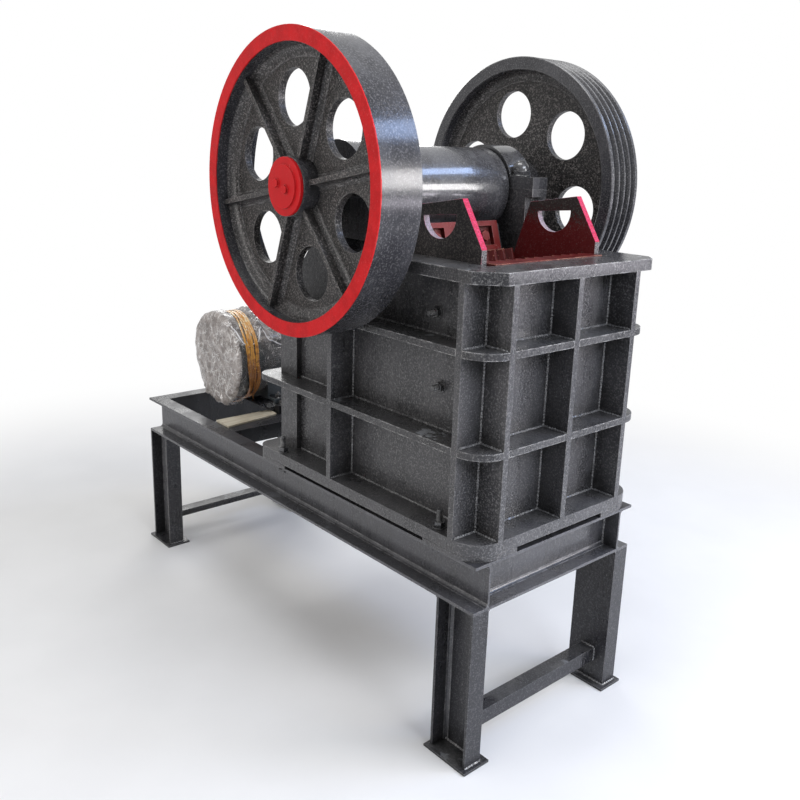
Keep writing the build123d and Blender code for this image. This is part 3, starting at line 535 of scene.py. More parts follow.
redLooks = {
    "rimPaint": dict(paintLooks["wheelPaint"], redFrom=0.5105, red=(0.54, 0.003, 0.006),
        redLight=(0.66, 0.008, 0.012), redWornAndLit=(0.72, 0.10, 0.10), specular=0.22),
    "hubEnamel": {"colour": (0.50, 0.003, 0.006), "light": (0.64, 0.008, 0.012),
        "wornAndLit": (0.60, 0.14, 0.13), "rough": (0.24, 0.42), "bump": 0.4, "bumpDepth": 0.001, "edge": 0.002,
        "wearAndHighlight": 0.5, "edgeHighlightShow": 0.3, "edgeHighlightColour": (0.75, 0.07, 0.07), "cornerShade": 0.75, "peel": 110.0,
        "specular": 0.25},
    "dieRed": {"colour": (0.065, 0.005, 0.005), "light": (0.12, 0.010, 0.009), "wornAndLit": (0.62, 0.30, 0.20),
        "rough": (0.34, 0.55), "bump": 0.7, "bumpDepth": 0.0022, "edge": 0.004, "wearAndHighlight": 0.95,
        "edgeHighlightShow": 0.5, "edgeHighlightColour": (0.34, 0.05, 0.04), "cornerShade": 0.8, "peel": 85.0, "specular": 0.3},
    "clampRed": {"colour": (0.13, 0.010, 0.009), "light": (0.21, 0.022, 0.018), "wornAndLit": (0.50, 0.26, 0.24),
        "rough": (0.34, 0.55), "bump": 0.6, "bumpDepth": 0.002, "edge": 0.003, "wearAndHighlight": 0.7,
        "edgeHighlightShow": 0.4, "edgeHighlightColour": (0.36, 0.06, 0.05), "cornerShade": 0.95, "peel": 95.0, "specular": 0.3},
}
otherLooks = {
    "cheekPaint": {"inside": (0.095, 0.006, 0.007), "insideLight": (0.15, 0.012, 0.013),
        "mist": (0.030, 0.022, 0.021), "outside": (0.026, 0.024, 0.025),
        "outsideLight": (0.110, 0.098, 0.092), "outsideLitSpeck": (0.30, 0.28, 0.28),
        "edge": (0.46, 0.003, 0.035), "edgeLight": (0.66, 0.05, 0.15), "edgeDark": (0.20, 0.03, 0.08),
        "edgeGrey": (0.26, 0.24, 0.24), "edgeLilac": (0.52, 0.40, 0.50), "mistHeight": (1.42, 1.53),
        "moon": (0.649, 1.483, 0.0665), "bump": 0.6, "bumpDepth": 0.0012, "specular": 0.3},
    "shaftSteel": {"colour": (0.30, 0.29, 0.28), "light": (0.52, 0.51, 0.50), "lay": (60.0, 900.0, 60.0),
        "rust": 0.5, "rough": (0.25, 0.45), "bump": 0.2, "bumpDepth": 0.0004, "metal": 1.0},
    "boardWood": {"colour": (0.50, 0.44, 0.33), "light": (0.66, 0.61, 0.50), "stain": (0.36, 0.30, 0.21),
        "bump": 0.5, "bumpDepth": 0.0008},
    "clearFilm": {"colour": (0.27, 0.238, 0.222), "light": (0.40, 0.358, 0.338), "line": (0.95, 0.94, 0.93),
        "lineShow": 0.85, "warp": 0.030, "creases": ((19, 0.028, 1.0), (42, 0.045, 0.9), (85, 0.055, 0.7)),
        "cover": 0.90, "lineCover": 0.30, "rough": (0.18, 0.36), "bump": 0.8, "bumpDepth": 0.0022,
        "sides": 0.22, "low": 0.50},
    "filmEdge": {"colour": (0.80, 0.79, 0.82), "light": (0.92, 0.91, 0.94), "line": (0.95, 0.95, 0.95),
        "lineShow": 0.4, "warp": 0.02, "creases": ((90, 0.1, 1.0),), "cover": 0.95, "lineCover": 0.05,
        "rough": (0.2, 0.3), "bump": 0.3, "bumpDepth": 0.001, "sides": 0.0, "low": 0.0},
    "blackPlastic": {"colour": (0.006, 0.006, 0.008), "light": (0.014, 0.014, 0.016),
        "line": (0.20, 0.20, 0.22), "lineShow": 0.5, "warp": 0.03,
        "creases": ((24, 0.04, 1.0), (60, 0.05, 0.6)), "cover": 1.0, "lineCover": 0.0,
        "rough": (0.08, 0.22), "bump": 0.7, "bumpDepth": 0.004, "sides": 0.0, "low": 0.0},
    "twineYellow": {"colour": (0.56, 0.205, 0.026), "light": (0.88, 0.47, 0.095),
        "dullAndShade": (0.34, 0.11, 0.022), "glint": (0.95, 0.84, 0.58), "bump": 0.8, "bumpDepth": 0.0012,
        "coat": 0.5},
}

materials["rimPaint"] = makeRimPaint("rimPaint", redLooks["rimPaint"])
for name in ("hubEnamel", "dieRed", "clampRed"):
    materials[name] = makeRed(name, redLooks[name])
for name, make in (("cheekPaint", makeCheekPaint), ("shaftSteel", makeSteel), ("boardWood", makeWood),
                   ("twineYellow", makeTwineFinish), ("clearFilm", makeFilm), ("filmEdge", makeFilm),
                   ("blackPlastic", makeFilm)):
    materials[name] = make(name, otherLooks[name])

# Which finish each node of the CAD model gets
nodeFinish = {
    "standPaint": ["stand_rails", "stand_crossbeams", "motor_crossbeam", "motor_slide_rails"],
    "legPaint": ["stand_legs", "foot_plates", "leg_ties"],
    "bodyPaint": ["side_plates", "front_plate", "rear_plates", "front_wings", "front_middle_rib", "side_ribs",
                  "rear_strips", "base_pads", "front_pads", "bearing_bases", "toggle_block",
                  "tension_rod", "base_flange"],
    "barrelPaint": ["swing_jaw", "bearing_caps"],
    "flangePaint": ["lower_shelf", "upper_shelf", "rear_shelves", "top_flange"],
    "webPaint": ["flywheel_web", "flywheel_ribs", "sheave_web"],
    "wheelPaint": ["sheave_rim", "wheel_hubs"],
    "rimPaint": ["flywheel_rim"],
    "hubEnamel": ["hub_caps"],
    "dieRed": ["fixed_jaw_die", "swing_jaw_die", "toggle_plate"],
    "clampRed": ["jaw_clamp"],
    "cheekPaint": ["cheek_plates"],
    "shaftSteel": ["eccentric_shaft", "motor_pulley"],
    "motorPaint": ["motor_housing"],
    "clearFilm": ["motor_wrap"],
    "twineYellow": ["wrap_twine"],
    "boardWood": ["packing_plank"],
}
for finish, nodes in nodeFinish.items():
    for node in nodes:
        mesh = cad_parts[node].data
        mesh.materials.clear()
        mesh.materials.append(materials[finish])
print("nodes have their finishes")

# Every node of the CAD model gets its edges rounded by modifiers
rounding = {"width": 0.0014, "sharpAbove": 32, "rows": 2}


def buildShadeGroup():  # smooth shading that stops at sharp edges
    tree = bpy.data.node_groups.new("smoothBetweenEdges", "GeometryNodeTree")
    tree.interface.new_socket("Mesh", in_out="INPUT", socket_type="NodeSocketGeometry")
    tree.interface.new_socket("Mesh", in_out="OUTPUT", socket_type="NodeSocketGeometry")
    g = Graph(tree)
    angle = g.add("GeometryNodeInputMeshEdgeAngle").outputs[0]
    limit = math.radians(rounding["sharpAbove"])
    sharp = g.add("FunctionNodeCompare", {0: angle, 1: limit}, operation="GREATER_THAN").outputs[0]
    given = g.add("NodeGroupInput").outputs[0]
    shaded = g.add("GeometryNodeSetMeshNormal", {"Mesh": given, "Remove Custom": True,
                                                 "Edge Sharpness": sharp}, mode="SHARPNESS")
    g.add("NodeGroupOutput", {0: shaded.outputs[0]})
    return tree


def roundEdges(node):
    weld = node.modifiers.new("weld", "WELD")
    weld.merge_threshold = 0.00002
    flat = node.modifiers.new("flatFaces", "DECIMATE")
    flat.decimate_type = "DISSOLVE"
    flat.angle_limit = 0.01
    rounded = node.modifiers.new("roundedEdges", "BEVEL")
    rounded.width = rounding["width"]
    rounded.segments = rounding["rows"]
    rounded.limit_method = "ANGLE"
    rounded.angle_limit = math.radians(rounding["sharpAbove"])
    node.modifiers.new("shade", "NODES").node_group = shadeGroup
    node.modifiers.new("evenShade", "WEIGHTED_NORMAL").keep_sharp = True


shadeGroup = buildShadeGroup()
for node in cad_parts.values():
    roundEdges(node)
print("edges are rounded")

# Helpers for the pieces that scene.py adds, all in metres


class Shell:  # gathers the points and faces of one new piece
    def __init__(self):
        self.points, self.faces = [], []

    def addRings(self, rings, closed=False):  # skin over rings of equally many points, capped if open
        first, count = len(self.points), len(rings[0])
        for ring in rings:
            self.points.extend(ring)
        for step in range(len(rings) if closed else len(rings) - 1):
            low, high = first + step * count, first + (step + 1) % len(rings) * count
            for i in range(count):
                j = (i + 1) % count
                self.faces.append((low + i, low + j, high + j, high + i))
        if not closed:
            last = first + (len(rings) - 1) * count
            self.faces.append(tuple(first + i for i in reversed(range(count))))
            self.faces.append(tuple(last + i for i in range(count)))

    def addLathe(self, place, profile, sides=24, closed=False):  # profile holds (radius, height) pairs
        angles = [2 * math.pi * (i + 0.5) / sides for i in range(sides)]
        self.addRings([[place @ Vector((radius * math.cos(a), radius * math.sin(a), height)) for a in angles]
                       for radius, height in profile], closed)

    def addTube(self, points, radii, sides=8):  # round bar along points
        rings, last = [], len(points) - 1
        for i, (point, radius) in enumerate(zip(points, radii)):
            along = (points[min(i + 1, last)] - points[max(i - 1, 0)]).normalized()
            side = along.orthogonal() if abs(along.z) > 0.9 else along.cross(Vector((0, 0, 1)))
            side.normalize()
            up = along.cross(side)
            rings.append([point + radius * (math.cos(a) * side + math.sin(a) * up)
                          for a in (2 * math.pi * k / sides for k in range(sides))])
        self.addRings(rings)

    def makePiece(self, name, finish, body="frame", slotName="grey_paint", replaced=()):
        mesh = bpy.data.meshes.new(name)
        mesh.from_pydata([tuple(p) for p in self.points], [], self.faces)
        shaped = bmesh.new()
        shaped.from_mesh(mesh)
        bmesh.ops.recalc_face_normals(shaped, faces=shaped.faces)
        for face in shaped.faces:
            face.smooth = True
        shaped.to_mesh(mesh)
        shaped.free()
        mesh.materials.append(materials[finish])
        piece = bpy.data.objects.new(name, mesh)
        scene.collection.objects.link(piece)
        piece.modifiers.new("shade", "NODES").node_group = shadeGroup
        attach(piece, body)
        if replaced:
            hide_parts(*replaced)
        return piece


def placeAt(point, along):  # frame whose Z runs along a direction
    return Matrix.Translation(Vector(point)) @ Vector(along).to_track_quat("Z", "Y").to_matrix().to_4x4()


def radial(turn):  # direction at an angle round an axis that runs along Y
    return Vector((math.cos(turn), 0, math.sin(turn)))


def curveUp(fromWide, toWide, rise, steps=5):  # hollow curve from flat ground up to a wall
    return [(fromWide + (toWide - fromWide) * math.sin(a), rise * (1 - math.cos(a)))
            for a in (math.pi / 2 * i / steps for i in range(steps + 1))]


def addNut(shell, place, flats, height, low=0.0):  # six-sided nut or bolt head with its corners taken off
    corner, cut = flats / math.sqrt(3), 0.12 * height
    shell.addLathe(place, [(corner * 0.93, low), (corner, low + cut), (corner, low + height - cut),
                           (corner * 0.90, low + height)], sides=6)


def addWasher(shell, place, radius, thickness, low=0.0):
    edge = thickness * 0.25
    shell.addLathe(place, [(radius - edge, low), (radius, low + edge), (radius, low + thickness - edge),
                           (radius - edge, low + thickness)], sides=28)


def addThread(shell, place, radius, low, high, pitch):  # bar with thread crests and a small chamfer
    profile, depth = [(radius - pitch * 0.6, low)], pitch * 0.55
    height = low + pitch * 0.5
    while height < high - pitch:
        profile += [(radius, height), (radius - depth, height + pitch * 0.5)]
        height += pitch
    profile += [(radius - depth, high - pitch * 0.4), (radius - depth * 1.6, high)]
    shell.addLathe(place, profile, sides=16)


def addBolt(shell, place, values):  # washer, nut and thread, each as its own helper wants them
    addWasher(shell, place, *values["washer"])
    addNut(shell, place, *values["nut"], values["washer"][1])
    if "thread" in values:
        addThread(shell, place, *values["thread"])


# Bolts that hold the bearing caps, the wall liners, the foundation, the hubs, the clamp and the motor
bolts = {
    "lugNut": {"x": 0.464, "y": 0.273, "lugTop": 1.574, "washer": (0.029, 0.004), "nut": (0.050, 0.013),
               "dome": 0.0265, "domeLift": 0.004, "domeAngles": (0, 15, 30, 45, 60, 74, 86)},
    "wall": {"places": ((0.679, 1.231), (0.704, 1.032)), "washer": (0.018, 0.003), "nut": (0.027, 0.013),
             "thread": (0.0085, 0.0, 0.034, 0.0024)},
    "foundation": {"places": ((0.037, 0.329), (0.778, 0.318)), "washer": (0.019, 0.003),
                   "nut": (0.030, 0.016), "radius": 0.0095, "pitch": 0.0025,
                   "top": 0.716, "low": 0.594, "flange": 0.009},
    "hub": {"places": ((0.3020, 1.5460), (0.3440, 1.5310)), "washer": (0.01394, 0.0015),
            "nut": (0.0205, 0.0055)},
    "clamp": {"across": 0.100, "pocket": (0.4812, 1.3959), "facing": (0.951, 0, 0.309),
              "washer": (0.021, 0.003), "nut": (0.030, 0.012)},
    "motor": {"xs": (-0.781, -0.491), "foot": 0.020, "washer": (0.016, 0.003), "nut": (0.024, 0.012),
              "thread": (0.0065, 0.0, 0.024, 0.002)},
    "slide": {"xs": (-0.905, -0.462), "foot": 0.0, "washer": (0.016, 0.003), "nut": (0.024, 0.012),
              "thread": (0.0065, 0.0, 0.022, 0.002)},
    "motorRows": (-0.005, 0.245),
}


def makeBearingNuts(values):
    shell = Shell()
    low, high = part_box("bearing_caps")
    radius, base = values["dome"], values["washer"][1] + values["nut"][1]
    dome = [(radius, base - 0.002)]
    for angle in values["domeAngles"]:
        a = math.radians(angle)
        dome.append((radius * math.cos(a), base + values["domeLift"] + radius * math.sin(a)))
    for side in (-1, 1):
        for x in (values["x"], low[0] + high[0] - values["x"]):
            place = placeAt((x, side * values["y"], values["lugTop"]), (0, 0, 1))
            addBolt(shell, place, values)
            shell.addLathe(place, dome, sides=32)
    return shell.makePiece("bearingNuts", "boltPaint")


def makeFaceBolts(name, values, node, *finish):  # the same bolts on both side faces of a node
    shell, face = Shell(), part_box(node)[1][1]
    for side in (-1, 1):
        for x, z in values["places"]:
            addBolt(shell, placeAt((x, side * face, z), (0, side, 0)), values)
    return shell.makePiece(name, *finish)


def makeFoundationBolts(values):
    shell = Shell()
    top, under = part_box("base_flange")[1][2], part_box("stand_rails")[1][2] - values["flange"]
    thread = (values["radius"], values["low"] - top, values["top"] - top, values["pitch"])
    flats, height = values["nut"]
    for side in (-1, 1):
        for x, y in values["places"]:
            addBolt(shell, placeAt((x, side * y, top), (0, 0, 1)), dict(values, thread=thread))
            addNut(shell, placeAt((x, side * y, under), (0, 0, -1)), flats, height * 0.7)
    return shell.makePiece("foundationBolts", "boltPaint")


def makeClampBolts(values):
    shell, (x, z) = Shell(), values["pocket"]
    for side in (-1, 1):
        addBolt(shell, placeAt((x, side * values["across"], z), values["facing"]), values)
    return shell.makePiece("clampBolts", "clampRed", "swing_jaw", "primer_red")


def makeMotorBolts(rows, kinds):
    shell, railTop = Shell(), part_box("motor_slide_rails")[1][2]
    for y in rows:
        for values in kinds:
            for x in values["xs"]:
                addBolt(shell, placeAt((x, y, railTop + values["foot"]), (0, 0, 1)), values)
    return shell.makePiece("motorBolts", "boltPaint")


makeBearingNuts(bolts["lugNut"])
makeFaceBolts("wallBolts", bolts["wall"], "side_plates", "boltPaint")
makeFoundationBolts(bolts["foundation"])
makeFaceBolts("hubBolts", bolts["hub"], "hub_caps", "hubEnamel", "rotor", "red_paint")
makeClampBolts(bolts["clamp"])
makeMotorBolts(bolts["motorRows"], (bolts["motor"], bolts["slide"]))
print("bolts are in")

# Weld beads in the corners of the plates
welds = {"radius": 0.0041, "step": 0.0048, "ripple": 0.17, "uneven": 0.10, "astray": 0.0004, "endShare": 0.6,
         "sink": 0.25, "sides": 6, "seed": 41, "sideBay": 0.078, "mouthGap": 0.004, "edgeGap": 0.006}
channel = {"height": 0.140, "back": 0.060, "web": 0.007, "flange": 0.009, "tieLeg": 0.050, "weldAt": 0.053}


class Seams(Shell):  # piece that is made of weld beads
    def __init__(self, values, seedStep):
        super().__init__()
        self.values, self.chance = values, random.Random(values["seed"] + seedStep)

    def bead(self, start, end, outward):
        values, chance = self.values, self.chance
        uneven, astray = values["uneven"], values["astray"]
        start, end, outward = Vector(start), Vector(end), Vector(outward).normalized()
        along = end - start
        count = max(3, round(along.length / values["step"]))
        along.normalize()
        side = along.cross(outward)
        rings = []
        for i in range(count + 1):
            ripple = 1 + values["ripple"] * (1 if i % 2 else -1) + chance.uniform(-uneven, uneven)
            radius = values["radius"] * ripple * (values["endShare"] if i in (0, count) else 1.0)
            middle = start.lerp(end, i / count) + outward * values["sink"] * radius
            middle += side * chance.uniform(-astray, astray)
            rings.append([middle + radius * (math.cos(a) * side + math.sin(a) * outward)
                          for a in (2 * math.pi * k / values["sides"] for k in range(values["sides"]))])
        self.addRings(rings)

    def bay(self, low, high, mouth, skip=()):  # beads in a box-shaped bay that is open at its mouth
        axis = 0 if mouth[0] else 1
        across, outward = 1 - axis, mouth[axis]
        back, front = (low[axis], high[axis]) if outward > 0 else (high[axis], low[axis])
        floors = (("floor", low[2], 1), ("roof", high[2], -1))
        floors = [(z, up) for name, z, up in floors if name not in skip]

        def seam(deep, wide, heights, out):  # bead between two corners; out is inward across, then up
            ends = [[0, 0, heights[0]], [0, 0, heights[1]], [0, 0, out[2]]]
            for end, d, w in zip(ends, (*deep, out[0]), (*wide, out[1])):
                end[axis], end[across] = d, w
            self.bead(*ends)

        for name, a, inward in (("low", low[across], 1), ("high", high[across], -1)):
            if name in skip:
                continue
            seam((back, back), (a, a), (low[2], high[2]), (outward, inward, 0))
            for z, up in floors:
                seam((back, front - outward * self.values["mouthGap"]), (a, a), (z, z), (0, inward, up))
        for z, up in floors:
            seam((back, back), (low[across], high[across]), (z, z), (outward, 0, up))


def bodyLevels():  # top and underside of each level of the body, from the base up
    base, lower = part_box("base_flange"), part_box("lower_shelf")
    upper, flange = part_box("upper_shelf"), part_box("top_flange")
    return ((base[1][2], lower[0][2]), (lower[1][2], upper[0][2]), (upper[1][2], flange[0][2]))


def makeSideWelds(values):
    shell = Seams(values, 0)
    rib, wing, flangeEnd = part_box("side_ribs"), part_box("front_wings"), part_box("top_flange")[0][0]
    face, edge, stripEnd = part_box("side_plates")[1][1], rib[1][1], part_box("rear_strips")[1][0]
    levels = bodyLevels()
    for side in (-1, 1):
        ys = sorted((side * face, side * edge))
        mouth, wall = (0, side, 0), side * face
        for floor, roof in levels[:2]:
            shell.bay((rib[1][0], ys[0], floor), (wing[0][0], ys[1], roof), mouth)
            shell.bay((stripEnd, ys[0], floor), (rib[0][0], ys[1], roof), mouth, skip=("low",))
        floor, roof = levels[2]
        shell.bay((rib[1][0], ys[0], floor), (wing[0][0], ys[1], roof), mouth, skip=("roof",))
        shell.bead((flangeEnd, wall, roof), (wing[0][0], wall, roof), (0, side, -1))
        shell.bead((rib[0][0], wall, floor), (rib[0][0], wall, rib[1][2]), (-1, side, 0))
        for floor, roof in levels:  # the corners outside the front plate's wings
            x, front = wing[1][0], wing[1][0] + values["sideBay"]
            shell.bead((x, wall, floor), (x, wall, roof), (1, side, 0))
            for z, up in ((floor, 1), (roof, -1)):
                shell.bead((x, wall, z), (front, wall, z), (0, side, up))
                shell.bead((x, wall, z), (x, side * (edge - values["edgeGap"]), z), (1, 0, up))
    return shell.makePiece("sideWelds", "weldPaint")


def makeFrontWelds(values):
    shell = Seams(values, 1)
    plate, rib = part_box("front_plate"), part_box("front_middle_rib")
    for floor, roof in bodyLevels():
        for low, high in ((-plate[1][1], -rib[1][1]), (rib[1][1], plate[1][1])):
            shell.bay((plate[1][0], low, floor), (rib[1][0], high, roof), (1, 0, 0))
    return shell.makePiece("frontWelds", "weldPaint")


def makeStandWelds(values, steel):
    shell = Seams(values, 2)
    low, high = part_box("stand_legs")
    tieLow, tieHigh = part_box("leg_ties")
    inner, flange = high[1] - steel["back"], steel["flange"]
    for sideX in (-1, 1):
        outerX, innerX = sideX * high[0], sideX * (high[0] - steel["height"])
        tieFace = tieHigh[0] if sideX > 0 else tieLow[0]
        tieBack = tieFace - sideX * steel["tieLeg"]
        for side in (-1, 1):
            back, web, tip = side * inner, side * (inner + steel["web"]), side * high[1]
            for z, up in ((low[2], 1), (high[2], -1)):
                shell.bead((innerX, back, z), (outerX, back, z), (0, -side, up))
                shell.bead((innerX, back, z), (innerX, tip, z), (-sideX, 0, up))
                if up == 1:
                    shell.bead((outerX, back, z), (outerX, tip, z), (sideX, 0, up))
                step = sideX * flange
                shell.bead((innerX + step, web, z), (outerX - step, web, z), (0, side, up))
            shell.bead((tieBack, back, tieHigh[2]), (tieFace, back, tieHigh[2]), (0, -side, 1))
            shell.bead((tieFace, back, tieLow[2]), (tieFace, back, tieHigh[2]), (sideX, -side, 0))
    rails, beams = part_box("stand_rails"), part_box("stand_crossbeams")
    for side in (-1, 1):
        for end, facing in ((beams[1][0], 1), (beams[0][0], -1)):
            x = end - facing * steel["weldAt"]
            shell.bead((x, side * inner, rails[0][2] + flange), (x, side * inner, rails[1][2] - flange),
                       (facing, -side, 0))
    return shell.makePiece("standWelds", "weldPaint")


makeSideWelds(welds)
makeFrontWelds(welds)
makeStandWelds(welds, channel)
print("weld beads are in")

# Rolled root radii of the stand's channels, between web and flanges
rolled = {"radius": 0.011, "short": 0.0006, "deep": 0.0008}


def makeRootFillets(values, steel):
    shell, radius, deep = Shell(), values["radius"], values["deep"]
    section = curveUp(radius, 0.0, radius) + [(-deep, -deep)]

    def addRoot(corner, away, up, start, end):  # hollow strip in a corner of a channel
        shell.addRings([[Vector(corner) + Vector(along) + Vector(away) * wide + Vector(up) * rise
                         for wide, rise in section] for along in (start, end)])

    low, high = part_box("stand_rails")
    legLow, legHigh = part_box("stand_legs")
    web, flange = steel["web"] - steel["back"], steel["flange"]
    wall, front, end = high[1] + web, high[0] + web, high[0] - values["short"]
    inner = high[1] - steel["back"] - values["short"]
    legCorners = ((legHigh[0] - flange, -1), (legHigh[0] - steel["height"] + flange, 1))
    for side in (-1, 1):
        for z, up in ((low[2] + flange, 1), (high[2] - flange, -1)):
            addRoot((0, side * wall, z), (0, side, 0), (0, 0, up), (-end, 0, 0), (end, 0, 0))
            addRoot((side * front, 0, z), (side, 0, 0), (0, 0, up), (0, -inner, 0), (0, inner, 0))
        for sideX in (-1, 1):
            for x, facing in legCorners:
                addRoot((sideX * x, side * wall, 0), (0, side, 0), (sideX * facing, 0, 0),
                        (0, 0, legLow[2]), (0, 0, legHigh[2]))
    return shell.makePiece("rootFillets", "standPaint")


makeRootFillets(rolled, channel)
print("root radii are in")

# Cast fillets of the wheels, where ribs and rims run into the webs
wheelFillets = {"rimInner": 0.365, "ringRadius": 0.334, "rise": 0.026, "ribHalf": 0.007, "ribFoot": 0.012,
                "ribRise": 0.016, "ribFrom": 0.078, "ribTo": 0.352, "firstRib": 70.3, "ribs": 6,
                "shaft": (0.328, 1.538), "sides": 112, "lip": 0.0026, "deep": 0.001, "over": 0.0012}


def makeWheelFillets(values):
    shell, (x, z) = Shell(), values["shaft"]
    lip, deep, outer, inner = values["lip"], values["deep"], values["rimInner"], values["ringRadius"]
    ring = [(inner - 1.4 * lip, -deep), (inner - lip, 0.6 * lip), (inner - 0.5 * lip, lip), (inner, lip)]
    ring += [(r, h + 0.7 * lip) for r, h in curveUp(inner + deep, outer + deep, values["rise"])]
    ring += [(outer + deep, -deep)]
    flywheel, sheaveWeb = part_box("flywheel_web"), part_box("sheave_web")
    for low, high in (flywheel, sheaveWeb):
        for y, facing in ((low[1], -1), (high[1], 1)):
            shell.addLathe(placeAt((x, y, z), (0, facing, 0)), ring, values["sides"], closed=True)
    half, long = values["ribHalf"], values["ribFoot"]
    foot = half + long
    section = [(foot + 1.4 * lip, -deep), (foot + lip, 0.6 * lip), (foot + 0.5 * lip, lip)]
    section += [(foot - w, h + values["over"]) for w, h in curveUp(0.0, long + deep, values["ribRise"])]
    section += [(half - deep, -deep)]
    for i in range(values["ribs"]):
        turn = math.radians(values["firstRib"] + 360 / values["ribs"] * i)
        along, across = radial(turn), Vector((-math.sin(turn), 0, math.cos(turn)))
        for side in (-1, 1):
            shell.addRings([[Vector((x, flywheel[0][1], z)) + along * reach + across * side * w
                             + Vector((0, -h, 0)) for w, h in section]
                            for reach in (values["ribFrom"], values["ribTo"])])
    return shell.makePiece("wheelFillets", "filletPaint", "rotor")


makeWheelFillets(wheelFillets)
print("wheel fillets are in")

# Spring and rod that pull the jaw back, for the plain ones of the model
tension = {"z": 0.687, "rear": -0.245, "seat": (-0.233, -0.221), "springEnd": -0.109, "eye": 0.5286,
           "rod": 0.0135, "pitch": 0.003, "nutFlats": 0.042, "coil": 0.0272, "wire": 0.0056, "turns": 8,
           "steps": 26, "closedShare": 0.3, "seatRadius": 0.0395, "eyeRadius": 0.030, "eyeHalf": 0.018,
           "cut": 0.003, "bore": 0.014, "pin": 0.0135, "pinCut": 0.002, "pinOut": 0.008}


def makeTensionRod(values):
    shell = Shell()
    z, rod, (seatRear, seatFront) = values["z"], values["rod"], values["seat"]
    place, rear = placeAt((0, 0, z), (1, 0, 0)), values["rear"]
    addThread(shell, place, rod, rear, seatFront + 0.03, values["pitch"])
    shell.addLathe(place, [(rod, seatFront + 0.028), (rod, values["eye"])])
    addNut(shell, place, values["nutFlats"], seatRear - rear - 0.001, rear + 0.001)
    addWasher(shell, place, values["seatRadius"], seatFront - seatRear, seatRear)
    low, high = seatFront + values["wire"], values["springEnd"] - values["wire"]
    count, coil, closed = values["turns"] * values["steps"], [], values["closedShare"]
    for i in range(count + 1):
        t = i / count
        spread = 0.5 - 0.5 * math.cos(math.pi * min(1, max(0, (t - 0.06) / 0.88)))
        angle = 2 * math.pi * values["turns"] * t
        x = low + (high - low) * (closed * spread + (1 - closed) * t)
        coil.append(Vector((x, values["coil"] * math.cos(angle), z + values["coil"] * math.sin(angle))))
    shell.addTube(coil, [values["wire"]] * len(coil), sides=10)
    eye = placeAt((values["eye"], 0, z), (0, 1, 0))
    radius, half, cut, bore = values["eyeRadius"], values["eyeHalf"], values["cut"], values["bore"]
    shell.addLathe(eye, [(bore, -half), (radius - cut, -half), (radius, cut - half), (radius, half - cut),
                         (radius - cut, half), (bore, half)], sides=36, closed=True)
    pin, pinCut, end = values["pin"], values["pinCut"], half + values["pinOut"]
    shell.addLathe(eye, [(pin - pinCut, -end), (pin, pinCut - end), (pin, end - pinCut), (pin - pinCut, end)])
    return shell.makePiece("springRod", "boltPaint", "swing_jaw", replaced=["tension_rod"])


# Belt grooves of the sheave and of the pulley on the motor shaft
grooves = {"count": 4, "pitch": 0.028, "land": 0.0065, "foot": 0.0095, "depth": 0.018, "chamfer": 0.0009}
sheave = {"wall": 0.040, "cut": 0.0022, "sides": 144}
pulley = {"x": -0.636, "z": 0.830, "low": 0.296, "radius": 0.086, "width": 0.124, "bore": 0.0245,
          "cut": 0.003, "hub": 0.046, "hubFoot": 0.050, "hubIn": 0.012, "dish": 0.072, "dishFoot": 0.069,
          "dishDeep": 0.018, "bushEdge": 0.047, "bushIn": 0.006, "sides": 64,
          "screwTurns": (30, 150, 270), "screwReach": 0.036,
          "screw": ((0.0060, -0.002), (0.0060, 0.0015), (0.0052, 0.0022), (0.0030, 0.0022), (0.0026, 0.0004))}


def grooveProfile(values, radius, width):  # (radius, height) pairs across all the grooves of a wheel
    profile, cut, pitch = [], values["chamfer"], values["pitch"]
    foot, edge, half = radius - values["depth"], values["land"] / 2, values["foot"] / 2
    first = (width - values["count"] * pitch) / 2
    for i in range(values["count"]):
        start = first + pitch * i
        end = start + pitch
        middle = (start + end) / 2
        profile += [(radius, start + edge - cut), (radius - cut, start + edge), (foot, middle - half),
                    (foot, middle + half), (radius - cut, end - edge), (radius, end - edge + cut)]
    return profile


def makeSheaveRim(values):
    shell = Shell()
    low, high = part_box("sheave_rim")
    x, z = (low[0] + high[0]) / 2, (low[2] + high[2]) / 2
    radius, width, cut = (high[0] - low[0]) / 2, high[1] - low[1], values["cut"]
    inner = radius - values["wall"]
    profile = [(inner + cut, 0.0), (radius - cut, 0.0), (radius, cut)] + grooveProfile(grooves, radius, width)
    profile += [(radius, width - cut), (radius - cut, width), (inner + cut, width), (inner, width - cut),
                (inner, cut)]
    shell.addLathe(placeAt((x, low[1], z), (0, 1, 0)), profile, values["sides"], closed=True)
    return shell.makePiece("groovedSheave", "wheelPaint", "rotor", replaced=["sheave_rim"])


def makeMotorPulley(values):
    shell = Shell()
    x, z, low, bore, cut = (values[key] for key in ("x", "z", "low", "bore", "cut"))
    radius, width, hubFoot, hubIn = (values[key] for key in ("radius", "width", "hubFoot", "hubIn"))
    dish, bushFace = width - values["dishDeep"], width - values["bushIn"]
    profile = [(bore, hubIn), (values["hub"], hubIn), (hubFoot, 0.0), (radius - cut, 0.0), (radius, cut)]
    profile += grooveProfile(grooves, radius, width)
    profile += [(radius, width - cut), (radius - cut, width), (values["dish"], width),
                (values["dishFoot"], dish), (hubFoot, dish), (values["bushEdge"], bushFace), (bore, bushFace)]
    shell.addLathe(placeAt((x, low, z), (0, 1, 0)), profile, values["sides"], closed=True)
    for turn in values["screwTurns"]:  # screws of the taper bush
        middle = Vector((x, low + bushFace, z)) + values["screwReach"] * radial(math.radians(turn))
        shell.addLathe(placeAt(middle, (0, 1, 0)), values["screw"], sides=14)
    return shell.makePiece("groovedPulley", "shaftSteel", "frame", "bare_steel", ["motor_pulley"])


makeSheaveRim(sheave)
makeTensionRod(tension)
makeMotorPulley(pulley)
print("spring, sheave and pulley are in")

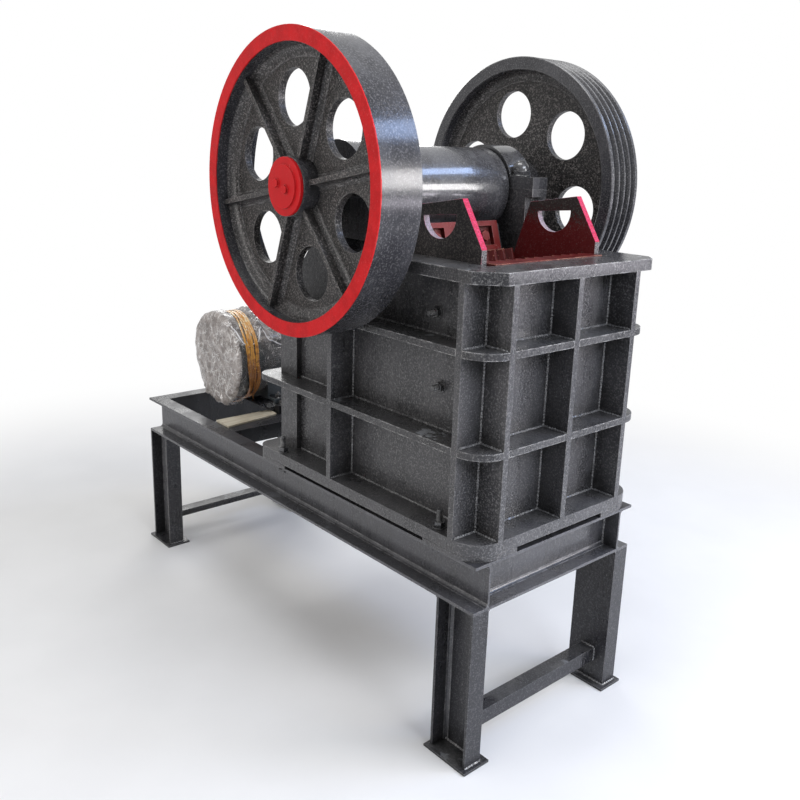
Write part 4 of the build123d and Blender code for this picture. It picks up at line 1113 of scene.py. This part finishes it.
# Film that wraps the motor: a crumpled cup over the fan end and a tail laid over the frame
film = {"x": -0.636, "z": 0.830, "radius": 0.1685, "faceY": -0.1905, "bulge": 0.009, "cupEnd": -0.050,
        "tailEnd": 0.258, "step": 0.0034, "around": 310, "corner": 0.010, "skin": 0.0008, "crease": 0.0062,
        "billow": 0.009, "lumps": ((-62, 38, 0.007), (118, 40, 0.004), (205, 40, -0.006)),
        "tips": (-84, 46, 0.022), "ruffle": 0.020, "ruffleLong": 0.05, "flat": (0.66, 0.95), "seed": 23,
        "hem": ((-0.186, 50), (-0.166, 27), (-0.142, 23), (-0.104, 27), (-0.076, 44), (-0.050, 27),
                (0.0, 20), (0.09, 14)), "hemStep": 0.0035, "hemOut": 0.0016, "hemThick": (0.0024, 0.0006)}
twine = {"x": -0.636, "z": 0.830, "radius": 0.1722, "middle": -0.115, "wide": 0.021, "strands": 7,
         "strip": 0.0046, "thick": 0.0015, "steps": 220, "seed": 12, "endSteps": 21, "endShare": 0.75,
         "ends": ((-48, -84, -0.104, -0.158), (-44, -74, -0.098, -0.062), (-50, -78, -0.112, -0.134))}
noise.seed_set(3)  # else the noise that warps the creases would be drawn anew in each run


def twineMiddle(turn):  # the twine runs askew: nearer the fan end at the side, further back below
    return twine["middle"] - 0.020 * max(0.0, math.cos(turn)) ** 2 + 0.018 * max(0.0, -math.sin(turn))


def crumple(point, seed):  # 0 to about 1: flat facets that meet in sharp ridges, at three scales
    here = point + noise.noise_vector(point * 7 + Vector((seed, 0, 0))) * 0.022
    total = 0.0
    for scale, weight in ((12, 0.66), (28, 0.26), (64, 0.08)):
        near = noise.voronoi(here * scale + Vector((0, seed * scale, 0)))[0]
        total += weight * max(0.0, 1 - 1.5 * (near[1] - near[0])) ** 1.3
    return total


def hemHeight(y, front):  # height where the film's loose edge hangs, on the feed side or the other
    wave = 0.012 * noise.noise(Vector((y * 16, 3.0 if front else 9.0, 0)))
    return 0.806 + wave + (0.018 if front else 0.0) * math.sin(y * 26)


def bumpAt(turn, degrees, width):  # 1 at a direction round the motor, fading to 0 over a width
    away = (math.degrees(turn) - degrees + 180) % 360 - 180
    return max(0.0, 1 - (away / width) ** 2)


def filmBend(values):  # reach where the flat end face stops, and where its rounded corner stops
    flatEnd = values["radius"] - values["corner"]
    return flatEnd, flatEnd + values["corner"] * math.pi / 2


def filmPoint(values, turn, reach):  # point on the crumpled film; reach runs from the middle of the end face
    radius, corner, face = values["radius"], values["corner"], values["faceY"]
    flatEnd, arcEnd = filmBend(values)
    outward, bulge = radial(turn), 0.0
    if reach < flatEnd:
        r, y, normal = reach, face, Vector((0, -1, 0))
        bulge = values["bulge"] * (1 - (reach / flatEnd) ** 2)
    elif reach < arcEnd:
        bend = (reach - flatEnd) / corner
        r, y = flatEnd + corner * math.sin(bend), face + corner * (1 - math.cos(bend))
        normal = outward * math.sin(bend) - Vector((0, math.cos(bend), 0))
    else:
        r, y, normal = radius, face + corner + reach - arcEnd, outward
    base = Vector((values["x"], y, values["z"])) + outward * r
    middle, half = twineMiddle(turn), twine["wide"] + 0.002
    tied = min(1.0, max(0.0, (middle - half - y) / 0.014, (y - middle - half) / 0.012))  # 0 under the twine
    loose = 1.0
    if y > values["cupEnd"]:  # the tail lies smoother than the cup
        loose = 0.35 + 0.65 * max(0.0, min(1.0, 1 - (y - values["cupEnd"]) / 0.05))
    lift = values["skin"] + values["crease"] * crumple(base, values["seed"]) * tied * loose
    lift += bulge * (0.7 + 0.5 * noise.noise(base * 9))
    if y < middle:
        edge = tied * (r / radius) ** 4
        puff = 0.5 + 0.5 * noise.noise(Vector((turn * 1.7, y * 8, values["seed"])))
        lift += tied * values["billow"] * puff * (1 if r > 0.12 else r / 0.12)
        lift += edge * sum(height * bumpAt(turn, degrees, wide) for degrees, wide, height in values["lumps"])
        degrees, wide, height = values["tips"]
        tips = max(0.0, noise.noise(Vector((turn * 9.0, y * 26, 5.0))) + 0.2)
        lift += edge * height * tips * bumpAt(turn, degrees, wide)
    back, long = middle + half, values["ruffleLong"]
    if back < y < back + long:
        bunch = math.sin(math.pi * (y - back) / long)
        folds = abs(noise.noise(Vector((turn * 7.0, y * 12, 1.0))))
        lift += values["ruffle"] * bunch * (0.25 + 1.5 * folds) * max(0.15, math.sin(turn)) ** 1.5
    return base + normal * lift


def makeFilmHem(values):  # thick hem of the outer layer, waved between the end face and the tail
    shell, points, knots = Shell(), [], values["hem"]
    for (y0, a0), (y1, a1) in zip(knots, knots[1:]):
        steps = round((y1 - y0) / values["hemStep"])
        for i in range(steps):
            t = i / steps
            turn, y = math.radians(a0 + (a1 - a0) * t * t * (3 - 2 * t)), y0 + (y1 - y0) * t
            reach = filmBend(values)[1] + y - values["faceY"] - values["corner"]
            points.append(filmPoint(values, turn, reach) + radial(turn) * values["hemOut"])
    thick, wave = values["hemThick"]
    shell.addTube(points, [thick + wave * math.sin(i * 0.7) for i in range(len(points))])
    return shell.makePiece("filmHem", "filmEdge", "frame", "clear_film")


def makeFilmWrap(values, hem):
    shell, arcEnd, keep = Shell(), filmBend(values)[1], {}
    total = arcEnd + values["tailEnd"] - values["faceY"] - values["corner"]
    count, rows = values["around"], round(total / values["step"])
    for row in range(1, rows + 1):
        reach = total * row / rows
        y = values["faceY"] + values["corner"] + reach - arcEnd
        for i in range(count):
            turn = 2 * math.pi * i / count
            height = values["z"] + values["radius"] * math.sin(turn)
            if y > values["cupEnd"] and height < hemHeight(y, math.cos(turn) > 0) - 0.010:
                continue
            keep[row, i] = len(shell.points)
            shell.points.append(filmPoint(values, turn, reach))
    middle = len(shell.points)
    shell.points.append(filmPoint(values, 0.0, 0.0001))
    for i in range(count):
        after = (i + 1) % count
        shell.faces.append((middle, keep[1, i], keep[1, after]))
        for row in range(1, rows):
            quad = [keep.get(key) for key in ((row, i), (row, after), (row + 1, after), (row + 1, i))]
            if None not in quad:
                shell.faces.append(tuple(quad))
    used = sorted({i for face in shell.faces for i in face})
    renumber = {old: new for new, old in enumerate(used)}
    shell.points = [shell.points[i] for i in used]
    shell.faces = [tuple(renumber[i] for i in face) for face in shell.faces]
    wrap = shell.makePiece("filmWrap", "clearFilm", "frame", "clear_film", ["motor_wrap"])
    return wrap


# Flat plastic twine wound round the film, with its loose ends tucked under the motor


def addStrand(shell, points, outs, wide, thick):  # flat strip with a thin lens-shaped section
    rings, last = [], len(points) - 1
    for i, (point, out) in enumerate(zip(points, outs)):
        along = (points[min(i + 1, last)] - points[max(i - 1, 0)]).normalized()
        side = along.cross(out).normalized()
        rings.append([point + side * wide * a + out * thick * b for a, b in (
            (-1, 0), (-0.6, 0.8), (0, 1.1), (0.6, 0.8), (1, 0), (0.5, -0.5), (-0.5, -0.5))])
    shell.addRings(rings)


def roundMotor(values, turn, y, rise):
    return Vector((values["x"], y, values["z"])) + radial(turn) * (values["radius"] + rise)


def makeTwine(values):
    shell, chance = Shell(), random.Random(values["seed"])
    for strand in range(values["strands"]):
        offset = values["wide"] * (2 * strand / (values["strands"] - 1) - 1)
        phase, wave = chance.uniform(0, 6.3), chance.uniform(0.0015, 0.0050)
        layer = chance.uniform(0.0, 0.0022)
        points, outs = [], []
        for i in range(values["steps"] + 1):
            turn = -math.pi / 2 + 2 * math.pi * i / values["steps"]
            narrow = 1 - 0.45 * max(0.0, -math.sin(turn)) ** 2 + 0.1 * max(0.0, math.sin(turn))
            across = offset + wave * math.sin(2 * turn + phase)
            across += 0.0016 * math.sin(7 * turn + 2 * phase)
            rise = layer + 0.0018 * max(0.0, math.sin(3 * turn + phase))
            rise += 0.0012 * noise.noise(Vector((turn * 5, strand, 0)))
            points.append(roundMotor(values, turn, twineMiddle(turn) + narrow * across, rise))
            tilt = 0.22 * math.sin(5 * turn + 3 * phase) + chance.uniform(-0.08, 0.08)
            outs.append((radial(turn) + Vector((0, tilt, 0))).normalized())
        addStrand(shell, points, outs, values["strip"], values["thick"])
    for first, last, y0, y1 in values["ends"]:
        points, outs = [], []
        for i in range(values["endSteps"] + 1):
            t = i / values["endSteps"]
            turn = math.radians(first + (last - first) * t)
            rise = 0.0042 + 0.009 * t * t + 0.002 * math.sin(9 * t)
            points.append(roundMotor(values, turn, y0 + (y1 - y0) * t * t, rise))
            outs.append(Vector((math.cos(turn), 0.3 * math.sin(6 * t), math.sin(turn))).normalized())
        addStrand(shell, points, outs, values["strip"] * values["endShare"], values["thick"])
    return shell.makePiece("twineBinding", "twineYellow", "frame", "yellow_twine", ["wrap_twine"])


# Black plastic that hangs out of the wrap over the near foot of the motor
scrap = {"x": (-0.652, -0.476), "y": (-0.096, 0.060), "step": 0.003, "footTop": 0.6725, "footEdge": -0.038,
         "low": 0.662, "reach": 0.1745, "crease": 0.012, "rimFrom": -0.492, "rimWide": 0.022,
         "rimDrop": 0.014, "seed": 5, "flat": (0.19, 0.17)}


def makePlasticScrap(values):
    shell = Shell()
    (x0, x1), (y0, y1), step, foot = values["x"], values["y"], values["step"], values["footTop"]
    across, deep = round((x1 - x0) / step), round((y1 - y0) / step)
    for j in range(deep + 1):
        for i in range(across + 1):
            x, y = x0 + (x1 - x0) * i / across, y0 + (y1 - y0) * j / deep
            x += 0.012 * noise.noise(Vector((x * 18, y * 18, 1)))
            y += 0.014 * noise.noise(Vector((x * 18, y * 18, 4)))
            over = min(1.0, max(0.0, (y - values["footEdge"]) / 0.014))  # 1 on the foot, 0 where it overhangs
            rim = max(0.0, x - values["rimFrom"]) / values["rimWide"]
            crease = values["crease"] * crumple(Vector((x, y, 0.65)) * 1.2, values["seed"])
            z = values["low"] + (foot - values["low"]) * over + crease * (2 * over - 1) * 0.8
            z -= values["rimDrop"] * rim ** 1.5
            under = film["z"] - math.sqrt(max(0.0, values["reach"] ** 2 - (x - film["x"]) ** 2))
            shell.points.append(Vector((x, y, min(z, under - 0.004) if over < 1 else z)))
    row = across + 1
    for j in range(deep):
        for a in range(j * row, j * row + across):
            shell.faces.append((a, a + 1, a + row + 1, a + row))
    piece = shell.makePiece("plasticScrap", "blackPlastic", "frame", "clear_film")
    return piece


makeFilmWrap(film, makeFilmHem(film))
makeTwine(twine)
makePlasticScrap(scrap)
print("film, twine and plastic are in")
